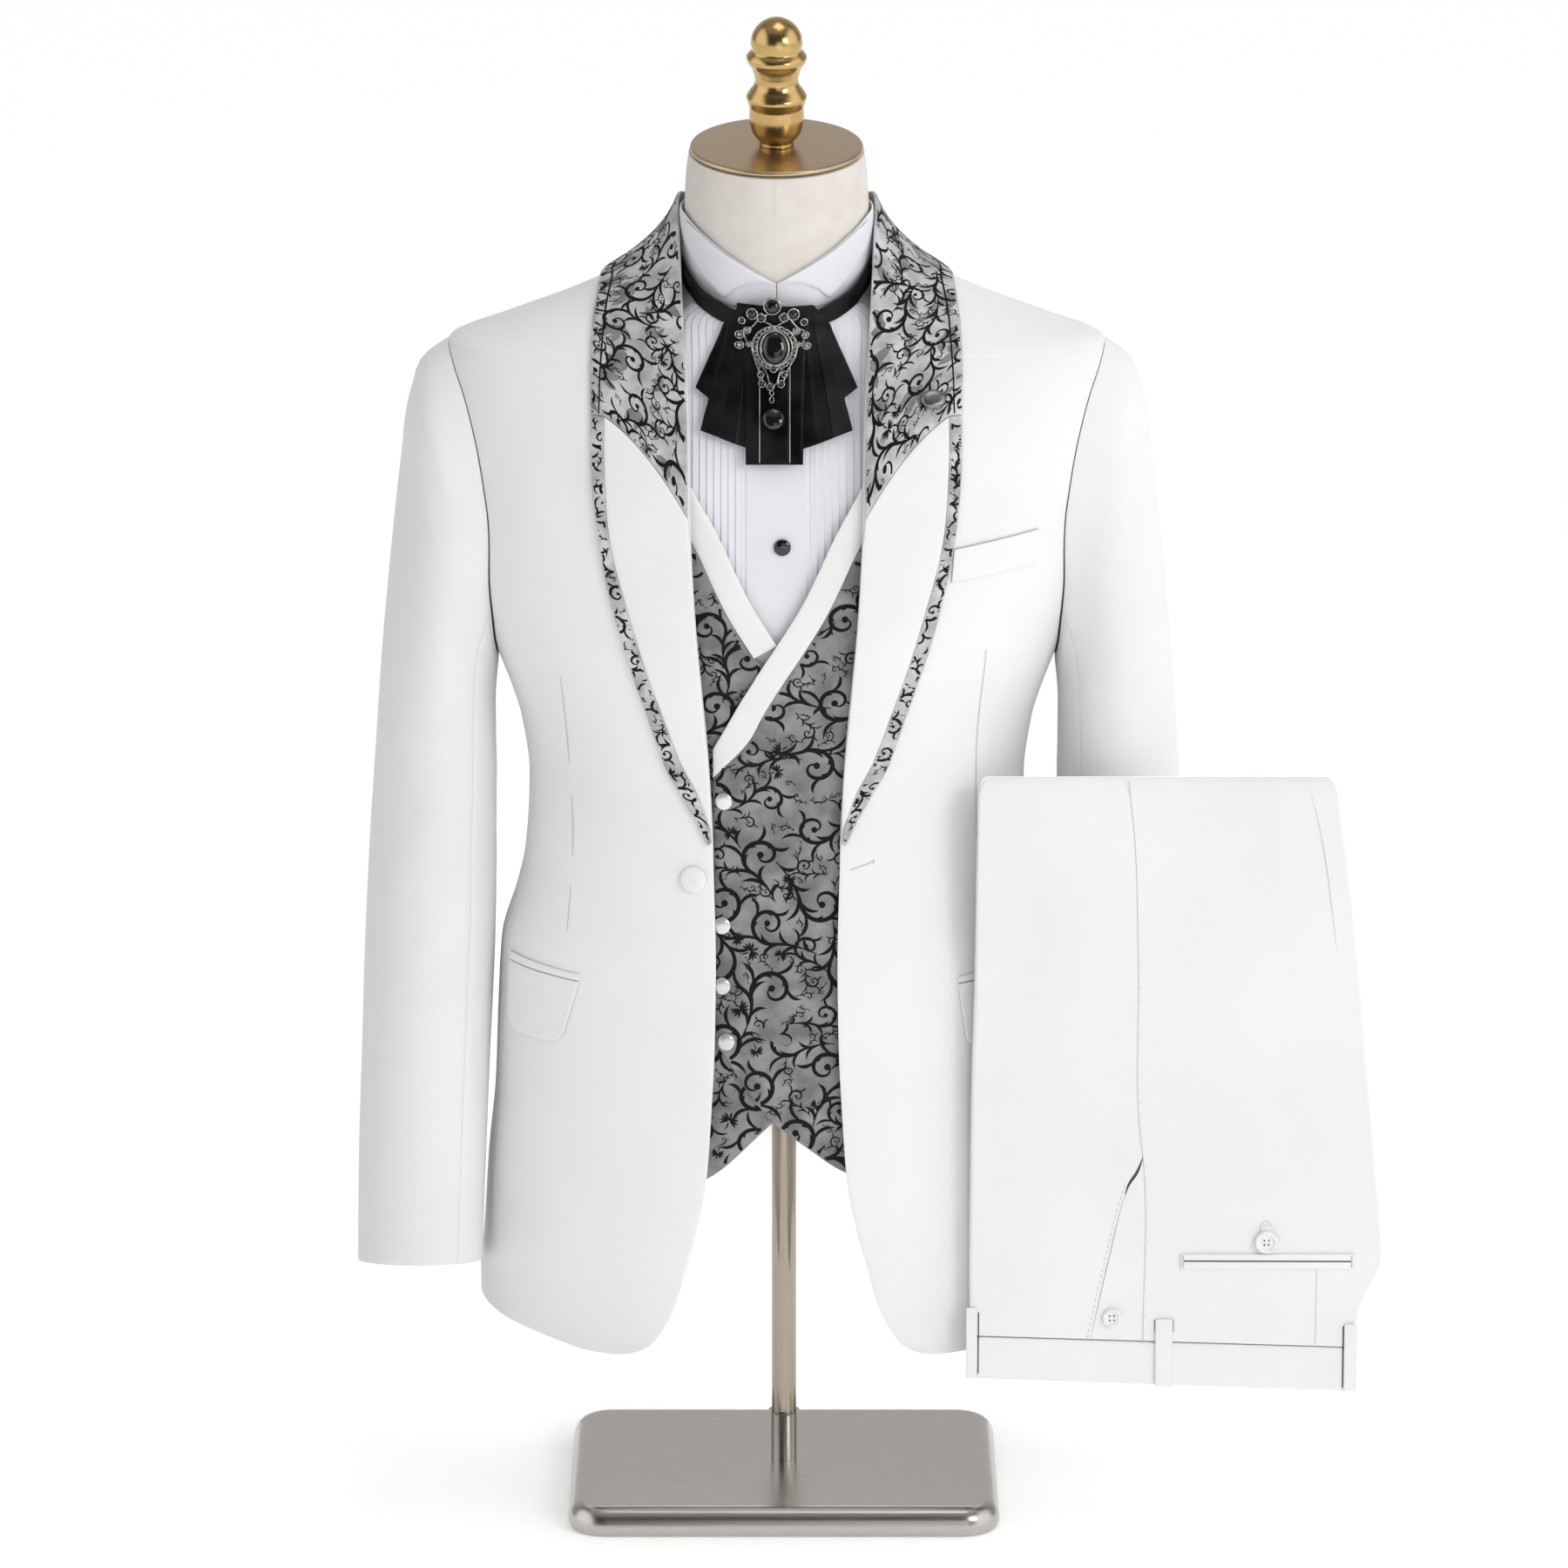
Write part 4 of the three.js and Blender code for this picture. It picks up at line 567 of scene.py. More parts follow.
# Jacket
frontEdge = {
    "z": [126, 127, 129, 133, 144, 165, 194, 222, 252, 306, 346, 407, 474, 500, 530, 560, 600, 640, 680, 720,
          760, 800, 835, 873],
    "x": [112, 102, 96, 88, 79.5, 69.5, 61.5, 54, 48.5, 44.5, 42.5, 41.5, 43, 43.5, 45, 47, 50.5, 54, 56.5,
          58, 58.5, 59.5, 62, 65],
}
jacketHem = {"x": [0, 112, 131, 151, 170, 190, 206], "z": [126, 126, 127, 131.5, 136, 140.5, 146]}
armhole = {"height": 711, "rise": 109, "depth": 64, "sideTurn": 30}
jacket = {"lowest": 126, "levelAbove": 200, "backHem": 151, "rows": 110, "columns": 44, "backColumns": 30,
          "hemRows": [126, 126.6, 127.4, 128.6], "sideColumns": 18, "sideTop": 596,
          "folds": [
              (150, 540, 52, 470, 16, 1.1, "front"), (120, 505, 60, 462, 9, -0.7, "front"),
              (168, 470, 70, 448, 14, 0.8, "front"), (185, 430, 110, 380, 20, 0.9, "front"),
              (150, 250, 170, 150, 24, 1.5, "front"), (100, 300, 118, 160, 26, -1.1, "front"),
              (175, 640, 120, 600, 15, 1.0, "front"), (150, 760, 128, 690, 18, -0.9, "front"),
              (150, 500, 40, 480, 20, 1.2, "back"), (160, 440, 30, 420, 26, 1.0, "back"),
              (110, 300, 125, 170, 28, 1.8, "back"), (40, 320, 46, 170, 24, -1.3, "back"),
              (150, 700, 80, 660, 22, 1.1, "back"), (120, 780, 40, 760, 18, 0.8, "back")]}
edgeAt, hemAt = track(frontEdge, "z", "x"), track(jacketHem, "x", "z")


def armRing(turn):
    turn = np.asarray(turn, float)
    z = armhole["height"] - armhole["rise"] * np.cos(turn)
    deep = armhole["depth"] * np.abs(np.sin(turn))
    isFront = np.sin(turn) >= 0
    angle = np.arccos(np.minimum(1, deep / np.where(isFront, frontAt(z), backAt(z))) ** (squareness / 2))
    return np.where(isFront, angle, np.pi - angle), z


sideFront = float(armRing(math.radians(armhole["sideTurn"]))[0])
sideBack = float(armRing(-math.radians(armhole["sideTurn"]))[0])
nudge = math.radians(0.06)


def hemHeight(angle):
    low = jacket["lowest"]
    sideHem = hemAt(skin(np.array(sideFront), low)[0])
    past = sideHem + (jacket["backHem"] - sideHem) * (angle - sideFront) / (np.pi - sideFront)
    return np.where(angle <= sideFront, hemAt(skin(np.minimum(angle, sideFront), low)[..., 0]), past)


def level(rowZ, hem):
    top, low = jacket["levelAbove"], jacket["lowest"]
    return np.where(rowZ >= top, rowZ, hem + (rowZ - low) * (top - hem) / (top - low))


def panelRows(isFront):
    # each row's height, and how far round the torso it reaches
    side, turn = (sideFront, 1) if isFront else (sideBack, -1)
    nudged = nudge * (-1 if isFront else 1)
    armFoot = float(armRing(math.radians(armhole["sideTurn"]))[1])
    low = np.concatenate([jacket["hemRows"], np.linspace(130.5, armFoot - 4, jacket["rows"])])
    turns = np.radians(np.linspace(armhole["sideTurn"], 180, 64))
    armAngle, armZ = armRing(turn * turns)
    armAngle[0] = side + nudged
    up = np.linspace(822, 872, 16)
    shoulder = np.pi / 2 + nudged
    z = np.concatenate([low, armZ, up])
    angle = np.concatenate([np.full(len(low), side + nudged), armAngle, np.full(len(up), shoulder)])
    return z, np.where(z > 819, shoulder, angle)


def withFolds(angle, z, lift):
    plain = body(angle, z, 0)
    return body(angle, z, lift + ridges(plain, jacket["folds"]))


def jacketFront(lift):
    z, reach = panelRows(True)
    u = dense(jacket["columns"], 0.007)[None]
    tip = angleOf(edgeAt(jacket["lowest"]), jacket["lowest"])
    start = angleOf(edgeAt(z), z)[:, None]
    height = level(z[:, None], hemHeight(mix(tip, sideFront, u)))
    return withFolds(mix(start, reach[:, None], u), height, lift)


def jacketBack(lift):
    z, reach = panelRows(False)
    u = dense(jacket["backColumns"], 0.007)[None]
    angle = mix(reach[:, None], np.pi - seam["gap"] / 2 / 122, u)   # 122 mm is the back's own depth
    return withFolds(angle, level(z[:, None], hemHeight(angle)), lift)


def jacketSide(lift):
    # level rows up to sideTop, then rows that bend into the armhole's foot
    columns, sideTop = jacket["sideColumns"], jacket["sideTop"]
    turns = np.radians(np.linspace(armhole["sideTurn"], -armhole["sideTurn"], columns))
    angle = mix(sideFront + nudge, sideBack - nudge, np.linspace(0, 1, columns))[None]
    z = np.concatenate([jacket["hemRows"], np.linspace(130.5, sideTop, jacket["rows"])])[:, None]
    low = withFolds(angle, level(z, hemHeight(angle)), lift)
    foot = armRing(turns)[1]
    top = [withFolds(angle[0], mix(np.full(columns, float(sideTop)), foot, t), lift)
           for t in (0.2, 0.45, 0.7, 0.88, 0.95, 1)]
    return np.concatenate([low, np.stack(top)])


sleeveRings = {
    "ix": [191, 192, 193, 193, 193, 193, 193.5, 195, 198, 201, 204],
    "iz": [594, 584, 570, 550, 522, 485, 440, 385, 325, 255, 180],
    "ox": [238, 249, 257, 264, 270, 275, 280, 284, 286.5, 289, 290],
    "oz": [810, 785, 735, 675, 612, 545, 475, 402, 330, 257, 180],
    "middle": [0, 0, 0, -1, -3, -5, -8, -14, -23, -35, -48],
    "half": [66, 68, 69, 69, 67, 64, 60, 56, 52, 47, 43.5],
    "bow": [5, 2, 0, 0, 0, 0, 0, 0, 0, 0, 0],
    "tilt": [0, 0, 0, 1, 2, 4, 5, 7, 9, 10, 11],
}
sleeveFolds = [
    (205, 520, 262, 470, 13, 1.6, "front"), (200, 470, 258, 440, 9, -1.2, "front"),
    (202, 430, 268, 392, 12, 1.3, "front"), (210, 350, 272, 318, 15, 0.8, "front"),
    (214, 700, 236, 560, 14, 1.2, "front"), (246, 760, 258, 600, 12, -0.9, "front"),
    (200, 520, 262, 486, 14, 1.9, "back"), (200, 460, 262, 430, 11, 1.5, "back"),
    (205, 400, 268, 380, 13, 1.2, "back"), (222, 720, 232, 560, 16, 1.5, "back")]


def sleevePanel(first, last, columns):
    eps = 0.16
    turn = np.radians(mix(first + eps, last - eps, dense(columns, 0.006)))
    angle, z = armRing(turn)
    seat = body(angle, z, 0) + [0.4, 0, 0]
    c, s = np.cos(turn), np.sin(turn)
    rings = [seat]
    for i in range(len(sleeveRings["ix"])):
        at = {key: column[i] for key, column in sleeveRings.items()}
        rings.append(point(
            mix(at["ix"], at["ox"], (1 - c) / 2) - at["bow"] * s * s, at["middle"] - at["half"] * s,
            mix(at["iz"], at["oz"], (1 - c) / 2) + at["half"] * s * math.tan(math.radians(at["tilt"]))))
    length = np.cumsum([0, 12, 26, 48, 60, 64, 68, 72, 75, 72, 73, 76])
    where = np.concatenate([[0, 0.5, 1, 2], np.linspace(3.5, length[-1] - 2.4, 90),
                            length[-1] - np.array([1.2, 0.5, 0])])
    outer = through(rings, where, length)
    plain = pushed(outer, 1, [230, 0, 500]) - outer
    outer = outer + plain * ridges(outer, sleeveFolds)[..., None]
    return outer, pushed(outer, -wallOf["jacket"], [230, 0, 500])


lapel = {
    "inX": [44, 45, 46.5, 49.5, 52.5, 55, 56.5, 57.5, 58.5, 59, 59.5],
    "inZ": [498, 530, 552, 587, 622, 652, 680, 699, 708, 715, 720],
    "outX": [45.5, 54, 65, 77.5, 89.5, 98.5, 106.5, 111.5, 114, 115, 115],
    "outZ": [504, 527, 549, 585, 621, 652, 681, 706, 735, 760, 783.5],
    "arch": [0, 0, 0, 0, 0, 1, 3, 5, 6, 7, 8],
}
lapelBand = {
    "outX": [54, 66, 76, 87.5, 99.5, 108.5, 115.5, 119.5, 122.5, 123.8, 124],
    "outZ": [506, 527, 547, 583, 619, 651, 681, 706, 735, 760, 784],
    "tip": (44, 491.5, 46.5, 489.5),
}


lapelFolds = [(60, 560, 74, 690, 9, 0.5, "front"), (80, 600, 96, 720, 11, 0.6, "front")]
bandSteps, collarSteps = dense(6, 0.05), dense(26, 0.012)   # from the inner edge to the outer one


def rowsOf(table, names, count):
    rows = through(np.stack([table[name] for name in names], -1).astype(float), count,
                   range(len(table[names[0]])))
    return rows.T


def lapelGrid(lift):
    inX, inZ, outX, outZ, arch = rowsOf(lapel, ("inX", "inZ", "outX", "outZ", "arch"), dense(80, 0.004) * 10)
    u = collarSteps[None]
    x = mix(inX[:, None], outX[:, None], u)
    z = mix(inZ[:, None], outZ[:, None], u) + arch[:, None] * 4 * u * (1 - u)
    return bodyAt(x, z, lift + ridges(point(x, 0 * x - 90, z), lapelFolds))


def bandEdges(count):
    x1, z1, x2, z2 = lapelBand["tip"]
    inX = np.concatenate([[x1], np.array(lapel["outX"], float) + seam["gap"]])
    inZ = np.concatenate([[z1], lapel["outZ"]])
    outX, outZ = np.concatenate([[x2], lapelBand["outX"]]), np.concatenate([[z2], lapelBand["outZ"]])
    steps = np.concatenate([[0, 1.0], np.linspace(1, 11, count - 1)[1:]])
    rows = through(np.stack([inX, inZ, outX, outZ], -1).astype(float), steps, range(12))
    return rows.T


def bandGrid(lift):
    inX, inZ, outX, outZ = bandEdges(110)
    u = bandSteps[None]
    return bodyAt(mix(inX[:, None], outX[:, None], u), mix(inZ[:, None], outZ[:, None], u), lift)


chestCollar = [   # inner x and z, outer x and z, arch
    (59.3, 745, 124.3, 797, 5), (59.8, 775, 124.6, 812, 3), (60.6, 805, 124.2, 827, 1),
    (62, 832, 123.4, 840, 0)]
neckCollar = [   # each row's inner edge, the middle of its roll and its outer edge
    ((64, -53, 863), (90, -46, 861), (122, -32, 855.5)),
    ((66.6, -29, 893), (83, -24, 873), (120.6, -14, 862.5)),
    ((68, 0, 916), (80, 0, 884), (119, 4, 866)), ((59.5, 34, 915), (74, 40, 888), (106, 42, 867)),
    ((34, 60, 913.5), (44, 69, 892), (70, 72, 868)), ((0, 70, 912.5), (0, 84, 896), (0, 84, 869))]


def collarGrid():
    # from the right front's seam with the lapel, over the shoulder and round the neck to the left front's
    u = collarSteps
    seamX = mix(59.5, 124, u)
    inside = np.clip((seamX - 59.5) / 55.5, 0, 1)
    seamZ = 720.7 + 63.5 * inside + 32 * inside * (1 - inside) + 0.4 * (seamX > 115)
    coarse = [point(seamX, seamZ)] + [point(mix(x0, x1, u), mix(z0, z1, u) + arch * 4 * u * (1 - u))
                                      for x0, z0, x1, z1, arch in chestCollar]
    spans = through(coarse, dense(40, 0.01) * 4, range(5))
    chest = bodyAt(spans[..., 0], spans[..., 1], layer["lapel"])
    t = u[:, None]
    bent = [(1 - t) ** 2 * a + 2 * t * (1 - t) * b + t * t * c for a, b, c in np.array(neckCollar, float)]
    mirrored = [row * flip for row in bent[:-1]][::-1]
    neckRows = [chest[-8], chest[-1], *bent, *mirrored, chest[-1] * flip, chest[-8] * flip]
    step = [np.linalg.norm(b - a, axis=-1).mean() for a, b in zip(neckRows, neckRows[1:])]
    at = np.concatenate([[0], np.cumsum(step)])
    neck = through(neckRows, np.linspace(at[1], at[-2], 116), at)
    return np.concatenate([chest[:-1], neck, (chest * flip)[::-1][1:]])


def buildJacket():
    wall = wallOf["jacket"]
    for name, panel in (("jacket_front", jacketFront), ("jacket_side", jacketSide),
                        ("jacket_back", jacketBack)):
        clothPair(name, panel(0), panel(-wall), look["suiting"], "white_wool", on=["dress_form"])
    clothPair("sleeve_top", *sleevePanel(50, 310, 56), look["suiting"], "white_wool",
              on=["jacket_front_right"])
    clothPair("sleeve_under", *sleevePanel(-50, 50, 24), look["suiting"], "white_wool",
              on=["jacket_side_right"])
    high = layer["lapel"]
    clothPair("lapel", lapelGrid(high), lapelGrid(high - wall), look["suiting"], "white_wool", "folded",
              ["jacket_front_right"])
    clothPair("lapel_band", bandGrid(high), bandGrid(high - wall), look["silverGroundSheen"], "collar_brocade",
              "folded", ["jacket_front_right"])
    collar = collarGrid()
    clothPair("upper_collar", collar, pushed(collar, -wall, [0, 0, 890]), look["silverGroundSheen"],
              "collar_brocade", "folded", ["jacket_back_right"], flipped=False)


buildJacket()
print("jacket panels, sleeves, lapels and collar made")

# Vest
vest = {
    "bandX": [64, 52, 38, 27, 16, 0, -12, -25, -36], "bandZ": [752, 729, 702, 678, 656, 630, 611, 588, 568],
    "step": (15.5, -9.1), "end": (-43.7, 555, -43.7, 534.5), "side": 82, "level": 380, "bandLift": 0.4,
    "folds": [(-40, 352, 10, 318, 6, 0.7, "front"), (-38, 372, 20, 345, 7, -0.6, "front"),
              (-40, 392, -8, 388, 5, 0.7, "front"), (-42, 432, -10, 424, 6, 0.6, "front"),
              (-30, 300, 30, 290, 7, 0.6, "front"), (20, 480, 44, 440, 8, 0.6, "front")],
}
overHem = {"x": [-44, -36, -28, -2, 20, 43.7, 80, 150], "z": [350, 343, 329, 294.5, 277, 260, 246, 242]}
underHem = {"x": [-9, 2, 50.4, 80, 150], "z": [304, 294.5, 251.8, 243, 240]}
vestArm = {"z": [575, 600, 640, 700, 760, 800, 826, 838, 846], "angle": [82, 72, 56, 47, 46, 50, 62, 78, 90]}
vestArmAt = track(vestArm, "z", "angle")


def vestBandLine(isOver):
    keep = [i for i, x in enumerate(vest["bandX"]) if isOver or x > -1]
    return np.array(vest["bandX"], float)[keep], np.array(vest["bandZ"], float)[keep]


def vestEdge(isOver):
    x, z = vestBandLine(isOver)
    x, z = (x + vest["step"][0] + seam["gap"])[::-1], (z + vest["step"][1])[::-1]
    below = ([240, 528, 534], [-43.7, -43.7, -43.4]) if isOver else ([240, 600], [-6, -6])
    return track({"z": [*below[0], *z, 846], "x": [*below[1], *x, 88]}, "z", "x")


def vestFront(isOver, lift):
    edge, hem = vestEdge(isOver), track(overHem if isOver else underHem, "x", "z")
    first = 345 if isOver else 304
    low = [first, first + 0.5, first + 1.2]
    rowZ = np.concatenate([low, np.linspace(first + 2.5, 845, 100), [846]])[:, None]
    u = dense(64, 0.004)[None]
    reach = np.radians(np.where(rowZ > 575, vestArmAt(rowZ), vest["side"]))
    start = edge(rowZ)
    foot = mix(angleOf(edge(np.array(float(first))), 300.0), np.radians(vest["side"]), u)
    hemZ = hem(skin(foot, 300.0 + 0 * foot)[..., 0])
    top = vest["level"]
    z = np.where(rowZ >= top, rowZ, hemZ + (rowZ - first) * (top - hemZ) / (top - first))
    angle = mix(angleOf(start, z), reach, u)
    return body(angle, z, lift + ridges(body(angle, z, 0), vest["folds"]))


def vestBandGrid(isOver, lift):
    x, z = vestBandLine(isOver)
    rows = np.stack([x, z, x + vest["step"][0], z + vest["step"][1]], -1)
    if isOver:
        rows = np.concatenate([rows, [vest["end"]]])
    count = len(rows) - 1
    rows = through(rows, dense(70, 0.006) * count, range(count + 1))
    u = dense(8, 0.03)[None]
    return bodyAt(mix(rows[:, :1], rows[:, 2:3], u), mix(rows[:, 1:2], rows[:, 3:], u), lift)


def vestBack(lift):
    rowZ = np.concatenate([[242, 242.6, 243.6], np.linspace(245, 837, 84), [838]])[:, None]
    u = np.linspace(-1, 1, 61)[None]
    reach = np.radians(np.where(rowZ > 575, 180 - vestArmAt(rowZ) + 0.2, vest["side"] + 0.7))
    angle = np.pi - (np.pi - reach) * np.abs(u)
    grid = body(angle, np.broadcast_to(rowZ, angle.shape), lift)
    return np.where((u < 0)[..., None], grid * flip, grid)


def buildVest():
    wall = wallOf["vest"]
    over, under = layer["vestOver"], layer["vestUnder"]
    rest = dict(held="hung", on=["dress_form"], flipped=False)
    clothPair("vest_front_right", vestFront(True, over), vestFront(True, over - wall), look["greyGroundSheen"],
              "vest_brocade", **rest)
    clothPair("vest_front_left", vestFront(False, under) * flip, vestFront(False, under - wall) * flip,
              look["greyGroundSheen"], "vest_brocade", **rest)
    clothPair("vest_band_right", vestBandGrid(True, over + vest["bandLift"]), vestBandGrid(True, over - wall),
              look["suiting"], "white_wool", **rest)
    clothPair("vest_band_left", vestBandGrid(False, under + vest["bandLift"]) * flip,
              vestBandGrid(False, under - wall) * flip, look["suiting"], "white_wool", **rest)
    clothPair("vest_back", vestBack(layer["vestBack"]), vestBack(layer["vestBack"] - wall), look["satin"],
              "black_satin", **rest)


buildVest()
print("vest made")

# Woven scrolls: a common leaf-scroll ground, laid out by a seeded rule
weave = {
    "vest": {"radii": (22, 19.5, 17, 14.5, 12.5, 10.5, 9, 7.6, 6.4, 5.4, 4.5, 3.6, 3),
             "stroke": 0.09, "fine": 1.5, "seeds": {"right": 7, "left": 11},
             "low": (-46, 232), "high": (98, 792)},
    "collar": {"radii": (18, 16, 14, 12, 10.2, 8.8, 7.5, 6.3, 5.3, 4.4, 3.6, 3),
               "stroke": 0.088, "fine": 1.4, "seeds": {"round": 23}},
    "band": {"radii": (11, 9, 7.5, 6, 5, 4.2, 3.4, 2.7),
             "stroke": 0.11, "fine": 1.3, "seeds": {"right": 42, "left": 43}},
    "packing": 0.86, "tries": 3.2, "palmettes": 0.3,
    "edge": 0.7, "low": 0.08, "high": 0.2,   # the cloth's clear edge, and a strip's rim and middle above it
}


def packedCircles(low, high, radii, seed, touches):
    # circles of falling size thrown into a box, each clear of the ones before
    chance = np.random.default_rng(seed)
    spots = np.zeros((0, 3))
    room = (high[0] - low[0]) * (high[1] - low[1])
    for r in radii:
        for x, y in chance.uniform(low, high, (int(room / (r * r) * weave["tries"]), 2)):
            far = np.hypot(spots[:, 0] - x, spots[:, 1] - y)
            if (far >= weave["packing"] * (spots[:, 2] + r)).all():
                spots = np.concatenate([spots, [[x, y, r]]])
    ring = np.linspace(0, 2 * np.pi, 12, endpoint=False)
    keep = [touches(x + r * np.cos(ring), y + r * np.sin(ring)).any() for x, y, r in spots]
    return spots[np.array(keep)], chance


def bend(a, b, c, count):
    # a smooth arc from a to c that leans towards b
    t = np.linspace(0, 1, count)[:, None]
    return (1 - t) ** 2 * a + 2 * t * (1 - t) * b + t * t * c


def leafWidth(count, high, peak=0.35):
    # a stroke's half width: swells up to the peak, then runs out to a point
    t = np.linspace(0, 1, count)
    swell = 0.35 + 0.65 * np.sin(t / peak * np.pi / 2)
    return high * np.where(t < peak, swell, np.cos((t - peak) / (1 - peak) * np.pi / 2))


def scrollUnit(r, chance, heavy, fine):
    # one scroll: a stem that winds into a spiral with a ball, and long leaves that part from it as it goes
    hand = chance.choice([-1, 1])
    turns = chance.uniform(1.15, 1.4) if r > 4 else chance.uniform(0.85, 1.05)
    start = chance.uniform(0, 2 * np.pi)
    squeeze = chance.uniform(0.85, 1.0)
    count = int(2 * np.pi * turns * r * 0.5 / fine) + 10
    t = np.linspace(0, 1, count)
    angle = start + hand * 2 * np.pi * turns * t
    far = r * (0.1 + 0.72 * (1 - t) ** 1.1)
    coil = np.stack([far * np.cos(angle), far * np.sin(angle)], -1)
    ahead, out = unit(coil[1] - coil[0]), unit(coil[0])
    reach = r * chance.uniform(1.1, 1.7)
    root = coil[0] - ahead * reach + out * reach * chance.uniform(0.15, 0.6)
    tail = bend(root, coil[0] - ahead * reach * 0.5, coil[0], int(reach / fine) + 5)
    line = np.concatenate([tail[:-1], coil])
    along = np.linspace(0, 1, len(line))
    strokes = [(line, r * heavy * (0.2 + 0.6 * np.sin(np.pi * along ** 0.9) ** 1.4))]
    ball = line[-1] + (line[-1] - line[-2]) * 0.3
    across = np.linspace(-1, 1, 7)
    dot = ball + np.stack([across, 0 * across], -1) * r * 0.12
    strokes.append((dot, r * 0.12 * np.sqrt(1.04 - across ** 2)))
    ahead = unit(np.gradient(line, axis=0))
    side = np.stack([ahead[:, 1], -ahead[:, 0]], -1) * hand
    steps = 10 if r > 6 else 7 if r > 3.4 else 4
    for k in range(steps):
        share = 0.03 + 0.62 * k / steps
        i = int(share * (len(line) - 1))
        way = 1 if k % 2 else -1
        size = 1.2 if way > 0 else 0.85 if share < 0.4 else 0.45
        swell = 0.55 + 0.45 * math.sin(math.pi * min(1, 0.15 + share * 1.3))
        long = r * size * chance.uniform(0.85, 1.1) * swell
        knee = line[i] + ahead[i] * long * 0.66 + way * side[i] * long * 0.06
        tip = line[i] + ahead[i] * long * 0.68 + way * side[i] * long * 0.66
        n = int(long * 1.2 / fine) + 5
        strokes.append((bend(line[i], knee, tip, n), leafWidth(n, r * heavy * 0.66, 0.55)))
    return [(p * [1, squeeze], w) for p, w in strokes]


def palmetteUnit(r, chance, heavy, fine):
    # a fan of nine strokes on a short stalk
    turn = chance.uniform(0, 2 * np.pi)
    strokes = []
    for k in range(-4, 5):
        a = turn + k * 0.42
        size = r * (1.15 - 0.05 * abs(k))
        way = np.array([math.cos(a), math.sin(a)])
        curl = np.array([-way[1], way[0]]) * np.sign(k) * size * 0.36
        n = int(size / fine) + 5
        leaf = bend(way * r * 0.14, way * size * 0.6, way * size * 0.92 + curl, n)
        strokes.append((leaf, leafWidth(n, r * heavy, 0.6)))
    back = np.array([math.cos(turn), math.sin(turn)])
    n = int(r / fine) + 5
    stalk = bend(-back * r * 0.1, -back * r * 0.6, -back * r * 1.05 + back[::-1] * r * 0.2, n)
    strokes.append((stalk, leafWidth(n, r * heavy * 0.7, 0.2)))
    return strokes


def shadedLeaves(x, y, r, turn):
    # three broad grey leaves behind a large scroll
    spot, count = np.array([x, y]), 9
    leaves = []
    for k in range(3):
        a = turn + k * 0.6
        way = np.array([math.cos(a), math.sin(a)])
        leaf = bend(spot + way * r * 0.2, spot + way * r * 0.6, spot + way * r * 1.15 + way[::-1] * r * 0.25,
                    count)
        leaves.append((leaf, leafWidth(count, r * 0.19, 0.5)))
    return leaves


def scrollField(key, side, low, high, inside):
    # fills a flat area with scrolls and palmettes, and gives the shaded leaves behind the larger ones
    plan = weave[key]
    spots, chance = packedCircles(low, high, plan["radii"], plan["seeds"][side], inside)
    strokes, leaves = [], []
    for x, y, r in spots:
        make = palmetteUnit if 4.5 < r < 8 and chance.random() < weave["palmettes"] else scrollUnit
        drawn = make(r * 0.88, chance, plan["stroke"] + 0.2 / r, plan["fine"])
        strokes += [(p + [x, y], np.maximum(w, 0.06)) for p, w in drawn]
        if r > 5:
            leaves += shadedLeaves(x, y, r, chance.uniform(0, 2 * np.pi))
    return strokes, leaves


def ribbons(name, strokes, surface, inside, material, slotName, low, high):
    # flat strokes laid on a surface, three points across, kept where all three are inside
    parts, faces, start = [], [], 0
    for line, half in strokes:
        ahead = unit(np.gradient(line, axis=0))
        side = np.stack([-ahead[:, 1], ahead[:, 0]], -1) * half[:, None]
        strip = np.stack([line - side, line, line + side], 1)
        clear = inside(strip[..., 0], strip[..., 1]).all(1)
        i = start + 3 * np.nonzero(clear[:-1] & clear[1:])[0]
        faces += [np.stack([i, i + 1, i + 4, i + 3], -1), np.stack([i + 1, i + 2, i + 5, i + 4], -1)]
        parts.append(strip.reshape(-1, 2))
        start += 3 * len(line)
    flat, faces = np.concatenate(parts), np.concatenate(faces)
    used, faces = np.unique(faces, return_inverse=True)
    faces = faces.reshape(-1, 4)
    lifts = np.tile([low, high, low], len(flat) // 3)[used]
    flat = flat[used]
    points, above = surface(flat[:, 0], flat[:, 1], lifts), surface(flat[:, 0], flat[:, 1], lifts + 1)
    a, b, c = [points[faces[:, k]] for k in range(3)]
    facing = (np.cross(b - a, c - a) * (above - points)[faces[:, 0]]).sum(-1)
    faces[facing < 0] = faces[facing < 0][:, ::-1]
    return place(meshFrom(name, toWorld(points), faces, None, 60), material, slotName)


